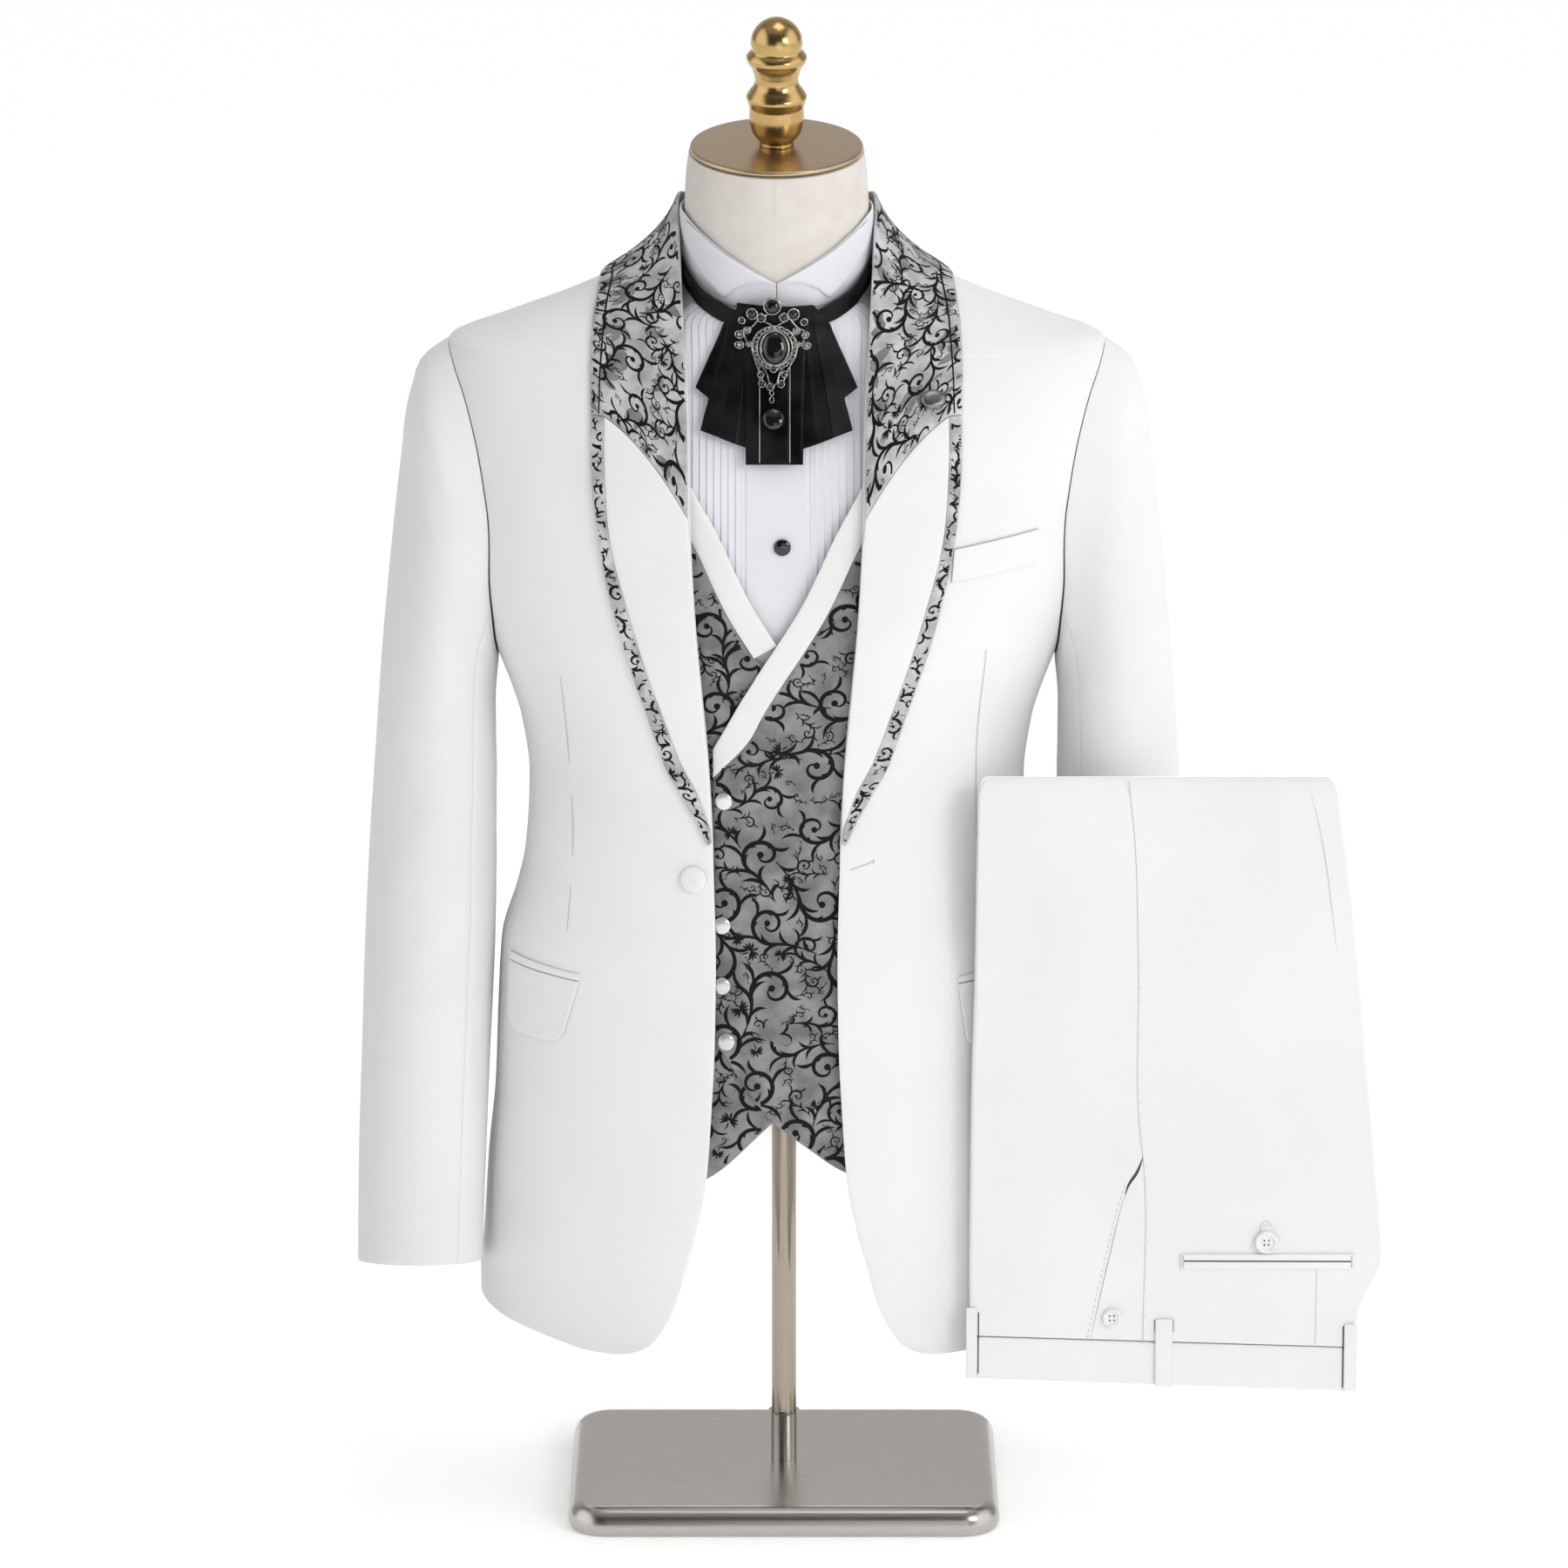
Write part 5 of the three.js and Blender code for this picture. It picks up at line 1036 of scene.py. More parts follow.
def gridSurface(grid, share, centre):
    # a map from lengths across and along a cloth grid to points on it; share is the grid's own step across
    middle = grid.shape[1] // 2
    along = np.concatenate([[0], np.cumsum(np.linalg.norm(np.diff(grid[:, middle], axis=0), axis=-1))])
    wide = lengthsOf(grid, 1)[:, -1]
    normal = unit(np.cross(np.gradient(grid, axis=1), np.gradient(grid, axis=0)))
    normal *= np.sign((normal * (grid - centre)).sum(-1).mean())

    def surface(u, v, lift):
        row = np.interp(v, along, np.arange(len(along)))
        col = np.interp(u / np.interp(v, along, wide) + 0.5, share, np.arange(len(share)))
        i, j = np.minimum(row.astype(int), grid.shape[0] - 2), np.minimum(col.astype(int), grid.shape[1] - 2)
        s, t = (row - i)[:, None], (col - j)[:, None]
        at = lambda g: mix(mix(g[i, j], g[i, j + 1], t), mix(g[i + 1, j], g[i + 1, j + 1], t), s)
        return at(grid) + unit(at(normal)) * np.asarray(lift)[..., None]

    def inside(u, v):
        edge = weave["edge"]
        return (v > edge) & (v < along[-1] - edge) & (np.abs(u) < np.interp(v, along, wide) / 2 - edge)
    return surface, inside, along[-1], wide.max()


collarCentre, bandCentre = (0, 0, 830), (0, 0, 650)


def vestScrolls(isOver, side):
    # drawn flat in x and z, and laid on the vest as seen from the front
    edge, clear = vestEdge(isOver), weave["edge"]
    low, high = weave["vest"]["low"], weave["vest"]["high"]
    rim = vestFront(isOver, 0.0)[0]
    rim = rim[np.argsort(rim[:, 0])]
    sign, lift = (1, layer["vestOver"]) if isOver else (-1, layer["vestUnder"])

    def surface(x, z, above):
        rise = ridges(bodyAt(x, z), vest["folds"])
        return bodyAt(x, z, lift + above + rise) * [sign, 1, 1]

    def inside(x, z):
        hem = np.interp(x, rim[:, 0], rim[:, 2])
        return (x > edge(z) + clear) & (z > hem + clear) & (x < high[0] - 2) & (z < high[1] - 2)
    strokes, _ = scrollField("vest", side, low, high, inside)
    ribbons(f"vest_scrolls_{side}", strokes, surface, inside, look["scroll"], "vest_brocade",
            weave["low"], weave["high"])


def collarScrolls():
    surface, inside, long, wide = gridSurface(collarGrid(), collarSteps, collarCentre)
    strokes, leaves = scrollField("collar", "round", (-wide / 2, 0), (wide / 2, long), inside)
    ribbons("collar_scrolls", strokes, surface, inside, look["scroll"], "collar_brocade",
            weave["low"], weave["high"])
    ribbons("collar_leaves", leaves, surface, inside, look["leafShade"], "collar_brocade", 0.04, 0.07)


def bandScrolls(sign, side):
    surface, inside, long, wide = gridSurface(bandGrid(layer["lapel"]) * [sign, 1, 1], bandSteps, bandCentre)
    strokes, _ = scrollField("band", side, (-wide / 2 - 2, 0), (wide / 2 + 2, long), inside)
    ribbons(f"band_scrolls_{side}", strokes, surface, inside, look["scroll"], "collar_brocade",
            weave["low"], weave["high"])


vestScrolls(True, "right")
vestScrolls(False, "left")
collarScrolls()
bandScrolls(1, "right")
bandScrolls(-1, "left")
print("woven scrolls laid on the vest, collar and bands")

# Shirt front, collar and bow
shirt = {"reach": 69, "pleat": 4.8, "from": 23.0, "to": 61.4, "placket": 20.0, "level": 805, "top": 849}
shirtLiftAt = track({"z": [600, 790, 825, 875], "lift": [4.4, 4.4, 3.4, 3]}, "z", "lift")
shirtCollar = {"turn": [0.3, 12, 30, 50, 75, 105, 140, 180],
               "r": [66.1, 66.1, 66.1, 66, 65.6, 65.6, 65.6, 65.6],
               "low": [851, 851.6, 854.4, 860.5, 868.5, 872, 874, 874],
               "top": [870.5, 878, 889, 901, 911, 914, 915, 915]}
shirtWing = {"turn": [0.5, 8, 16, 24, 32, 41, 54, 68], "r": [67.6, 67.8, 67.9, 68.1, 68.2, 68, 67.6, 67.2],
             "low": [869, 871, 870, 866.5, 860, 867, 879, 892],
             "top": [870.2, 875, 880, 885, 889.8, 895.5, 902.5, 907.5]}
strap = {"turn": [16, 24, 30, 43, 57, 72, 85, 110, 180],
         "r": [72.9, 73.7, 74.3, 73.6, 70.6, 67.8, 67.5, 67.5, 67.5],
         "low": [840, 842, 843.5, 850, 858, 864, 868, 872, 874],
         "top": [849.5, 853, 856.5, 864, 873, 881, 885, 888, 889]}
collarStand = {"turn": [76, 95, 115, 135, 157, 180], "r": [69.8, 69.7, 71.5, 74.5, 76.4, 76.8],
               "low": [874.5, 874, 873.4, 873.2, 873, 873], "top": [889, 896, 896, 896, 895, 895]}


def onShirt(x, z, lift):
    return chestAt(x, z, shirtLiftAt(z) + lift)


def pleatRise(x):
    # knife tucks: each climbs slowly away from the middle, then drops at its fold
    far = np.abs(x)
    t = (far - shirt["from"]) / shirt["pleat"]
    saw = t - np.floor(t)
    tuck = np.where(saw < 0.86, -0.42 + 0.95 * saw / 0.86, 0.53 - 0.95 * (saw - 0.86) / 0.14)
    inside = (far > shirt["from"]) & (far < shirt["to"] + shirt["pleat"] * 0.8)
    edge = np.clip((far - shirt["placket"]) / 0.7, 0, 1)
    return np.where(inside, tuck, np.where(far < shirt["from"], -0.5 * edge, 0))


def shirtGrid(isOuter):
    rows = np.concatenate([[604, 605, 606.5], np.linspace(609, 848, 44), [849]])[:, None]
    tucks = [s * (shirt["from"] + shirt["pleat"] * (k + f))
             for s in (-1, 1) for k in range(8) for f in (0.0, 0.15, 0.5, 0.84, 0.93, 0.995)]
    placket = [s * (shirt["placket"] + d) for s in (1, -1) for d in (-0.4, 0, 0.4, 0.7)]
    even = np.linspace(-shirt["reach"], shirt["reach"], 120)
    x = np.unique(np.round(np.concatenate([even, tucks, placket]), 3))
    x = x[np.concatenate([[True], np.diff(x) > 0.12])][None]
    ending = 848.6 + 5 * (np.minimum(66, np.abs(x)) / 62) ** 2
    level = shirt["level"]
    z = np.where(rows < level, rows, level + (ending - level) * (rows - level) / (shirt["top"] - level))
    drawn = np.minimum(1, 0.8 * formAt["half"](z) / shirt["reach"])
    return onShirt(x * drawn, z, pleatRise(x + 0 * z) if isOuter else -wallOf["shirt"])


def neckStrip(table, lift, count, closed):
    # a band round the neck from a table of one side; a closed one goes on round the back to the other side
    if closed:
        table = {key: list(column) + ([360 - v for v in column[-2::-1]] if key == "turn"
                                      else list(column[-2::-1]))
                 for key, column in table.items()}
    turn = mix(table["turn"][0], table["turn"][-1], dense(count, 0.004))[:, None]
    r, low, top = [track(table, "turn", key)(turn) for key in ("r", "low", "top")]
    z = mix(low, top, dense(7, 0.06)[None])
    middle = -4 - (z - 868) * math.tan(neckTilt)
    a, far = np.radians(turn), r + lift
    return point(far * np.sin(a), middle - far * np.cos(a), z)


def stripPiece(name, table, wall, count, material, slotName, closed=True, held="stretched"):
    outer, inner = neckStrip(table, 0, count, closed), neckStrip(table, -wall, count, closed)
    return clothPair(name, outer, inner, material, slotName, held, ["dress_form"], flipped=not closed)


bowTables = {
    "upper": ((9, 862, 22.5, 865.5), (20, 828, 37.4, 833), (31, 782, 53.6, 798.8)),
    "lower": ((7, 860, 21.2, 862), (9, 836, 31.6, 838), (11, 803, 41.6, 803.5), (12.5, 760, 50.2, 771.8)),
    "tail": ((-22.4, 868, 20.6, 867), (-22.8, 858, 20.8, 857), (-21.2, 820, 18.8, 820),
             (-20.2, 751.5, 17.4, 751.5)),
}
bow = {"upper": 4.6, "lower": 6.2, "tail": 8, "thick": 1, "tailThick": 1.2, "pleatDepth": 1.1, "line": 0.28,
       "lines": (-11.2, 8.8), "lineFrom": 820, "lineTo": 752.6}


def bowGrid(key, lift, relief):
    rows = np.array(bowTables[key], float)
    where = (dense(60, 0.004) * (len(rows) - 1)).ravel()
    rows = np.stack([np.interp(where, range(len(rows)), column) for column in rows.T], -1)
    u = dense(44, 0.01)[None]
    x, z = mix(rows[:, :1], rows[:, 2:3], u), mix(rows[:, 1:2], rows[:, 3:], u)
    return onShirt(x, z, lift + relief(u, np.linspace(0, 1, len(rows))[:, None]))


def buildShirt():
    clothPair("shirt_front", shirtGrid(True), shirtGrid(False), look["cotton"], "shirt_cotton", "stretched",
              ["dress_form"], flipped=False)
    stripPiece("shirt_collar", shirtCollar, 1.2, 150, look["cotton"], "shirt_cotton")
    stripPiece("shirt_wing", shirtWing, 1.0, 50, look["cotton"], "shirt_cotton", closed=False, held="folded")
    stripPiece("collar_stand", collarStand, 1.3, 110, look["suiting"], "white_wool")


def pleat(u, at, wide):
    # a sharp step up at the fold that dies away beyond it
    return np.where(u > at, np.exp(-((u - at) / wide)), 0)


def upperWingRelief(u, v):
    spread = bow["pleatDepth"] * np.clip(v * 1.5, 0, 1)
    return spread * (0.9 * pleat(u, 0.62, 0.16) - 0.3 + 0.5 * np.clip(u - 0.8, 0, 1))


def lowerWingRelief(u, v):
    spread = bow["pleatDepth"] * np.clip(v * 1.5, 0, 1)
    swell = 0.35 * np.sin(np.pi * v) * np.sin(np.pi * u)
    return spread * (0.8 * pleat(u, 0.36, 0.12) + 1.1 * pleat(u, 0.66, 0.2) + swell - 0.2)


def tailRelief(u, v):
    # a raised middle strip, a soft roll across and the hem's turn at the foot
    roll = 0.25 * np.cos(2 * np.pi * (u - 0.5)) * np.clip(v, 0, 1)
    return 0.5 * (np.abs(u - 0.5) < 0.235) + roll + 0.6 * np.clip((v - 0.9) / 0.02, 0, 1)


def buildBow():
    stripPiece("bow_strap", strap, 1.0, 150, look["satin"], "black_satin")
    for key, name, relief in (("upper", "bow_upper_wing", upperWingRelief),
                              ("lower", "bow_lower_wing", lowerWingRelief)):
        clothPair(name, bowGrid(key, bow[key] + bow["thick"], relief), bowGrid(key, bow[key], relief),
                  look["satin"], "black_satin", "folded", ["shirt_front"])
    front = bow["tail"] + bow["tailThick"]
    clothPair("bow_tail", bowGrid("tail", front, tailRelief), bowGrid("tail", bow["tail"], tailRelief),
              look["satin"], "black_satin", "hung", ["shirt_front"], flipped=False)
    z = np.linspace(bow["lineFrom"], bow["lineTo"], 60)
    high = front + 0.55 + 0.55 * (z < 758.3)   # the piping climbs over the hem's turn
    paths = [(onShirt(x + 0 * z, z, high), bow["line"], False) for x in bow["lines"]]
    place(tubes("bow_piping", paths, sides=8), look["silverThread"], "silver_satin")


buildShirt()
buildBow()
print("shirt front, collar and bow made")

# Pockets, buttons and brooch
pockets = {   # x and z of the corners: lower inner, lower outer, upper inner, upper outer
    "flap": (148, 343.5, 184, 346, 134.2, 389, 182, 393),
    "jet": (134.2, 389.8, 182, 393.8, 134.4, 394, 182, 399),
    "welt": (117.4, 673.8, 175, 682, 119, 696, 176, 704.5), "wall": 1.7, "round": 9,
    "rightMove": {"flap": (18, 0, 14, 0, 11, 0, 11, 0), "jet": (11, 0, 11, 0, 11, 0, 11, 0)},
}
buttons = {   # x, z, distance from the cloth, radius, height
    "jacket": (-56.5, 465.5, 0.3, 9, 4), "collar": (104.2, 794.4, 3.5, 8.4, 4.6),
    "stud": (3.8, 697.7, 0.3, 5.75, 3.2), "vestSize": (6, 2.6),
    "vest": [(-36.3, 519, 1.2), (-37.6, 433, 0.9), (-37.7, 391, 0.5), (-34.8, 352, 0.5)],
}


def patch(corners, lift, rounded=0.0, rows=26, cols=44):
    # a small flat piece on the body: bilinear in x and z, its lower corners rounded
    x0, z0, x1, z1, x2, z2, x3, z3 = corners
    u, v = dense(cols, 0.012)[None], dense(rows, 0.02)[:, None]
    if rounded:
        width = max(x1 - x0, 1)
        near = np.minimum(u, 1 - u) * width
        drop = rounded - np.sqrt(np.maximum(rounded ** 2 - np.maximum(rounded - near, 0) ** 2, 0))
        v = v + (1 - v) * drop / max(z2 - z0, 1)
    x = mix(mix(x0, x1, u), mix(x2, x3, u), v)
    z = mix(mix(z0, z1, u), mix(z2, z3, u), v)
    return bodyAt(x, z, lift)


def dome(r, h):
    return [(0.82 * r, 0), (r, 0.3 * h), (0.97 * r, 0.55 * h), (0.75 * r, 0.85 * h), (0.42 * r, h),
            (0.02 * r, 1.04 * h)]


def dishButton(r, h, rim=0.72):
    return [(0.86 * r, 0), (r, 0.35 * h), (0.98 * r, 0.75 * h), (0.9 * r, h), (rim * r, 0.98 * h),
            (0.62 * r, 0.8 * h), (0.05 * r, 0.74 * h)]


def onBody(x, z, lift):
    spot, above = bodyAt(x, z, lift), bodyAt(x, z, lift + 1)
    return spot, above - spot


def buttonOn(name, spot, axis, profile, material, slotName, nodes=(), stretch=(1, 1), sides=48):
    rings = turnedPoints(profile, (0, 0, 0), axis, sides, 40)
    rings = rings * [stretch[0], 1, stretch[1]]
    return place(ringPiece(name, rings + spot, sharp=60), material, slotName, nodes)


def buildPockets():
    wall = pockets["wall"]
    for key, name, high, rounded in (("flap", "hip_flap", layer["pocket"], pockets["round"]),
                                     ("jet", "hip_jet", layer["pocket"], 0)):
        nearer = [v - move for v, move in zip(pockets[key], pockets["rightMove"][key])]
        clothPair(name, patch(pockets[key], high, rounded), patch(pockets[key], high - wall, rounded),
                  look["suiting"], "white_wool", on=["jacket_front_right"],
                  right=(patch(nearer, high, rounded), patch(nearer, high - wall, rounded)))
    high = layer["welt"]
    clothPair("breast_welt", patch(pockets["welt"], high), patch(pockets["welt"], high - wall),
              look["suiting"], "white_wool", on=["jacket_front_right"], flipped=False)


def buildButtons():
    x, z, lift, r, h = buttons["jacket"]
    spot, axis = onBody(x, z, lift)
    buttonOn("jacket_button_shape", spot, axis, dome(r, h), look["suiting"], "white_wool", "jacket_button")
    x, z, lift, r, h = buttons["collar"]
    spot, axis = onBody(x, z, lift)
    buttonOn("collar_button_shape", spot, axis, dome(r, h), look["buttonSatin"], "silver_satin",
             "collar_button", stretch=(1.0, 0.78))
    r, h = buttons["vestSize"]
    for count, (x, z, over) in enumerate(buttons["vest"], 1):
        spot, axis = onBody(x, z, layer["vestOver"] + over)
        buttonOn(f"vest_button_{count}_shape", spot, axis, dome(r, h), look["vestButton"], "silver_satin",
                 f"vest_button_{count}")
    x, z, lift, r, h = buttons["stud"]
    spot = onShirt(np.array(x), np.array(z), lift)
    buttonOn("shirt_stud_shape", spot, onShirt(np.array(x), np.array(z), lift + 1) - spot,
             dome(r, h), look["jet"], "jet", "shirt_stud")


brooch = {
    "x": -1.2, "z": 825.2, "lift": 10.9, "bendAt": 836, "lean": 0.085, "stone": (8, 12.2), "wire": 0.62,
    "beadRing": 26,
    "crown": [(-1.5, 29.4, 5.2), (-13.9, 23.6, 3.2), (11.7, 23.6, 3.4), (-20.2, 18.6, 1.9), (18.2, 18, 2),
              (-8.2, 21.4, 2.6), (5.8, 21.8, 2.6)],
    "curls": [(-22.2, 9.4, 3.1), (-22.8, 2.4, 3.3), (-17.2, 12.6, 2.6), (13.8, 12.4, 2.6), (19.4, 9.6, 2.6),
              (20.6, 2.2, 3.3), (-16.4, 3.4, 2.2), (14.9, 3.4, 2.2)],
    "drops": [(-8.4, -24.6, 2.0), (-3.0, -26.6, 2.1), (4.2, -24.8, 2.0), (-9.2, -19, 1.8), (6.4, -18.8, 1.8),
              (-0.8, -15.4, 2.0)],
    "branches": [[(14.4, 2), (13.2, -7), (9.4, -16.5), (6.6, -23.4)],
                 [(10, -11), (4.8, -17), (1.6, -25), (-1, -27)], [(4, 24), (9, 21), (14, 15), (18.5, 12)],
                 [(2, 17), (6, 19), (8, 24)], [(15, 2), (18, 6), (19, 10)]],
    "chain": [(-29, -32), (-32.6, -37.4)],
}
bead = {"x": -2, "z": 777, "lift": 9.9, "r": 7.6, "h": 6}


def broochPoints(p):
    # p holds x, height over the bow and z, all from the stone's centre
    p = np.asarray(p, float)
    z = brooch["z"] + p[..., 2]
    over = np.maximum(0, z - brooch["bendAt"])
    flat = onShirt(brooch["x"] + p[..., 0], z - over, brooch["lift"] + p[..., 1])
    return flat + point(0, brooch["lean"] * over, over)


def ringWire(cx, cz, a, b, high, radius, steps=40):
    turn = np.linspace(0, 2 * np.pi, steps, endpoint=False)
    ring = np.stack([cx + a * np.cos(turn), np.full(steps, high), cz + b * np.sin(turn)], -1)
    return broochPoints(ring), radius, True


def curlWire(cx, cz, r):
    side = 1 if cx > 0 else -1
    turn = np.linspace(0, 3.2 * np.pi, 40)
    far = r * (1 - turn / (4.4 * np.pi))
    curl = np.stack([cx + side * far * np.cos(turn + 2), np.full(40, 1.0), cz + far * np.sin(turn + 2)], -1)
    return broochPoints(curl), brooch["wire"], False


def branchWire(path, side):
    # side mirrors it; its foot moves 1 mm left, to where the chain hangs
    smooth = through([np.array([side * x - 1.0 * (z < -10), z], float) for x, z in path], 26)
    line = np.stack([smooth[:, 0], np.full(26, 0.9), smooth[:, 1]], -1)
    return broochPoints(line), brooch["wire"] * 0.9, False


def settingStones(places, heights, share, inset):
    # small domed stones, each a short tube that narrows to its top
    narrowing = np.array([1, 0.95, 0.62, 0.1])
    return [(broochPoints([(cx, high, cz) for high in heights]), narrowing * (r - inset) * share, False)
            for cx, cz, r in places]


def buildBrooch():
    w, t = brooch["stone"]
    wire, count = brooch["wire"], brooch["beadRing"]
    wires = [ringWire(0, 0, w + 0.9, t + 0.9, 1.3, 0.95, 72)]
    for grow, high in ((3.2, 0.9), (6.4, 0.7)):
        wires.append(ringWire(0, 0.4, w + grow, t + grow * 0.55, high, wire, 72))
    for a in [2 * math.pi * k / count for k in range(count)]:
        wires.append(ringWire((w + 4.8) * math.cos(a), (t + 2.7) * math.sin(a), 1.25, 1.25, 0.9, 0.42, 12))
    wires += [curlWire(*curl) for curl in brooch["curls"]]
    settings = [*brooch["crown"], *brooch["drops"]]
    wires += [ringWire(cx, cz, r, r * 1.06, 1.0, wire, 30) for cx, cz, r in settings]
    wires += [branchWire(path, side) for side in (-1, 1) for path in brooch["branches"]]
    for z0, z1 in brooch["chain"]:
        wires.append(ringWire(-2, (z0 + z1) / 2, 1.3, (z0 - z1) / 2, 0.6, 0.42, 22))
    place(tubes("brooch_filigree", wires, sides=7), look["filigree"], "jet", "brooch")
    turn = np.linspace(0, 2 * np.pi, 40, endpoint=False)
    rings = [broochPoints(np.stack([f * w * np.cos(turn), np.full(40, h), f * t * np.sin(turn)], -1))
             for f, h in ((1.03, -0.6), (1.0, 1.5), (0.93, 2.7), (0.78, 3.6), (0.55, 4.3), (0.28, 4.6),
                          (0.02, 4.7))]
    place(ringPiece("brooch_stone", rings, sharp=60), look["jet"], "jet")
    stones = settingStones(settings, (0.2, 1.3, 2.0, 2.5), 1, 0.5)
    place(tubes("brooch_stones", stones, sides=16), look["jet"], "jet")
    beads = settingStones(brooch["curls"], (0.2, 1.2, 1.9, 2.2), 0.42, 0)
    place(tubes("brooch_beads", beads, sides=12), look["filigree"], "jet")


def buildBead():
    x, z = np.array(float(bead["x"])), np.array(float(bead["z"]))
    spot = onShirt(x, z, bead["lift"])
    axis = onShirt(x, z, bead["lift"] + 1) - spot
    r, h = bead["r"], bead["h"]
    profile = [(0.5 * r, 0), (r, 0.4 * h), (0.86 * r, 0.8 * h), (0.5 * r, h), (0.02 * r, 1.08 * h)]
    buttonOn("brooch_bead_shape", spot, axis, profile, look["jet"], "jet", "brooch_bead")


buildPockets()
buildButtons()
buildBrooch()
buildBead()
print("pockets, buttons and brooch made")

# Folded trousers
trousers = {
    "thick": 15, "layers": 4, "cutBelow": 150, "lowCut": 7.4,
    "legZ": [142.5, 166, 199, 262, 322, 396, 480, 524],
    "left": [134, 131.8, 131.6, 132, 132.6, 134.4, 135.4, 136],
    "right": [394.5, 401, 414.5, 409.5, 403.5, 396.5, 386.5, 380],
    "foldTurn": [0, 25, 50, 72, 84], "foldZ": [524.8, 529, 533.5, 536.2, 537],
    "waist": {"leftZ": [112.5, 127, 142], "rightZ": [103, 118, 134], "left": [135, 134.4, 134],
              "right": [392.5, 393.6, 394.2]},
    "creases": [(337, 520, 346, 450, 7, 0.9), (300, 480, 330, 250, 22, 1.3), (200, 500, 190, 300, 30, 1.2),
                (170, 200, 230, 165, 14, 0.8), (350, 330, 380, 260, 12, 0.8), (240, 300, 270, 200, 24, 0.9)],
    "legsFlat": (0.283, 0.397, 0.104), "waistFlat": (0.26, 0.031),   # metres, and the legs' area
}
trouserTrims = {   # x from and to, z from and to, thickness
    "belt_loop_left": (130, 137.5, 113, 163.5, 1.8), "belt_loop_middle": (260, 271.8, 107, 155.4, 1.8),
    "belt_loop_right": (389.8, 398.6, 103.4, 151.8, 1.8), "back_pocket_welt": (277, 395.6, 191.5, 202, 1.5),
    "pocket_button_tab": (331.5, 338.5, 202.4, 222, 0.9),
}
trouserButtons = {   # x, z, distance from the cloth, radius, height
    "pocket_button": (335.4, 211, 1.7, 8, 3), "side_button": (230, 156.5, 0.3, 6.5, 3),
}
trousersBack = float(bodyAt(131.0, np.array([150, 200, 250, 300, 350, 400, 450.0])).min(0)[1]) - 0.5
trousersFace = trousersBack - trousers["thick"]


def foldedRing(left, right, leftZ, rightZ, back, thick, layers, relief):
    # one level of the folded packet: flat in front and behind, with each layer's round edge at both sides
    front, ply, notch, bulge = back - thick, thick / layers, 1.5, math.radians(70)
    x = mix(left + 3, right - 3, np.linspace(0, 1, 64))
    edge = []
    for i in range(layers):
        for turn in np.linspace(-70, 70, 9):
            t = math.radians(turn)
            edge.append((notch * (math.cos(t) - 1), ply * (i + 0.5 + 0.5 * math.sin(t) / math.sin(bulge))))
    ring = ([(a, front, 1) for a in x] + [(right - 0.4 + d, front + y, 0) for d, y in edge]
            + [(a, back, 0) for a in x[::-1]] + [(left + 0.4 - d, front + y, 0) for d, y in edge[::-1]])
    ring = np.array(ring)
    z = mix(leftZ, rightZ, (ring[:, 0] - left) / (right - left))
    p = point(ring[:, 0], ring[:, 1], z)
    inside = np.clip((ring[:, 0] - left) / 14, 0, 1) * np.clip((right - ring[:, 0]) / 14, 0, 1)
    p[:, 1] -= relief(p) * ring[:, 2] * inside
    return p


def smoothFace(p):
    # no creases
    return np.zeros(len(p))


def trouserRelief(p):
    # the soft creases of the front layer
    out = np.zeros(len(p))
    for x0, z0, x1, z1, width, high in trousers["creases"]:
        d = np.array([x1 - x0, z1 - z0], float)
        t = np.clip(((p[:, 0] - x0) * d[0] + (p[:, 2] - z0) * d[1]) / (d @ d), 0, 1)
        far = np.hypot(p[:, 0] - x0 - t * d[0], p[:, 2] - z0 - t * d[1])
        out += high * np.sin(np.pi * (0.06 + 0.88 * t)) * np.exp(-(far / width) ** 2)
    return out


def slabPiece(name, x0, x1, z0, z1, thick, gap=0.4):
    # a narrow flat strip of cloth with rounded edges, held just in front of the trousers
    y0, y1 = trousersFace - gap - thick, trousersFace - gap
    corner = min(1.2, thick * 0.45)
    grid = []
    for z, far in ((z0, corner), (z0 + 0.4, 0.4), (z0 + corner, 0),
                   *[(mix(z0, z1, f), 0) for f in (0.3, 0.5, 0.7)], (z1 - corner, 0), (z1 - 0.4, 0.4),
                   (z1, corner)):
        ring = []
        for x, y, turn in ((x0, y0, 180), (x1, y0, 270), (x1, y1, 0), (x0, y1, 90)):
            r = min(corner, (x1 - x0) / 2 - 0.1)
            cx = x + r if x == x0 else x - r
            cy = y + r * 0.5 if y == y0 else y - r * 0.1
            for step in range(5):
                a = math.radians(turn + 90 * step / 4)
                flatter = 0.5 if y == y0 else 0.1
                ring.append((cx + (r - far) * math.cos(a), cy + flatter * (r - far) * math.sin(a), z))
        grid.append(ring)
    return ringPiece(name, grid)


def declare(piece, width, length, held="hung", on=(), area=None):
    width, length = max(width, leastFlat), max(length, leastFlat)


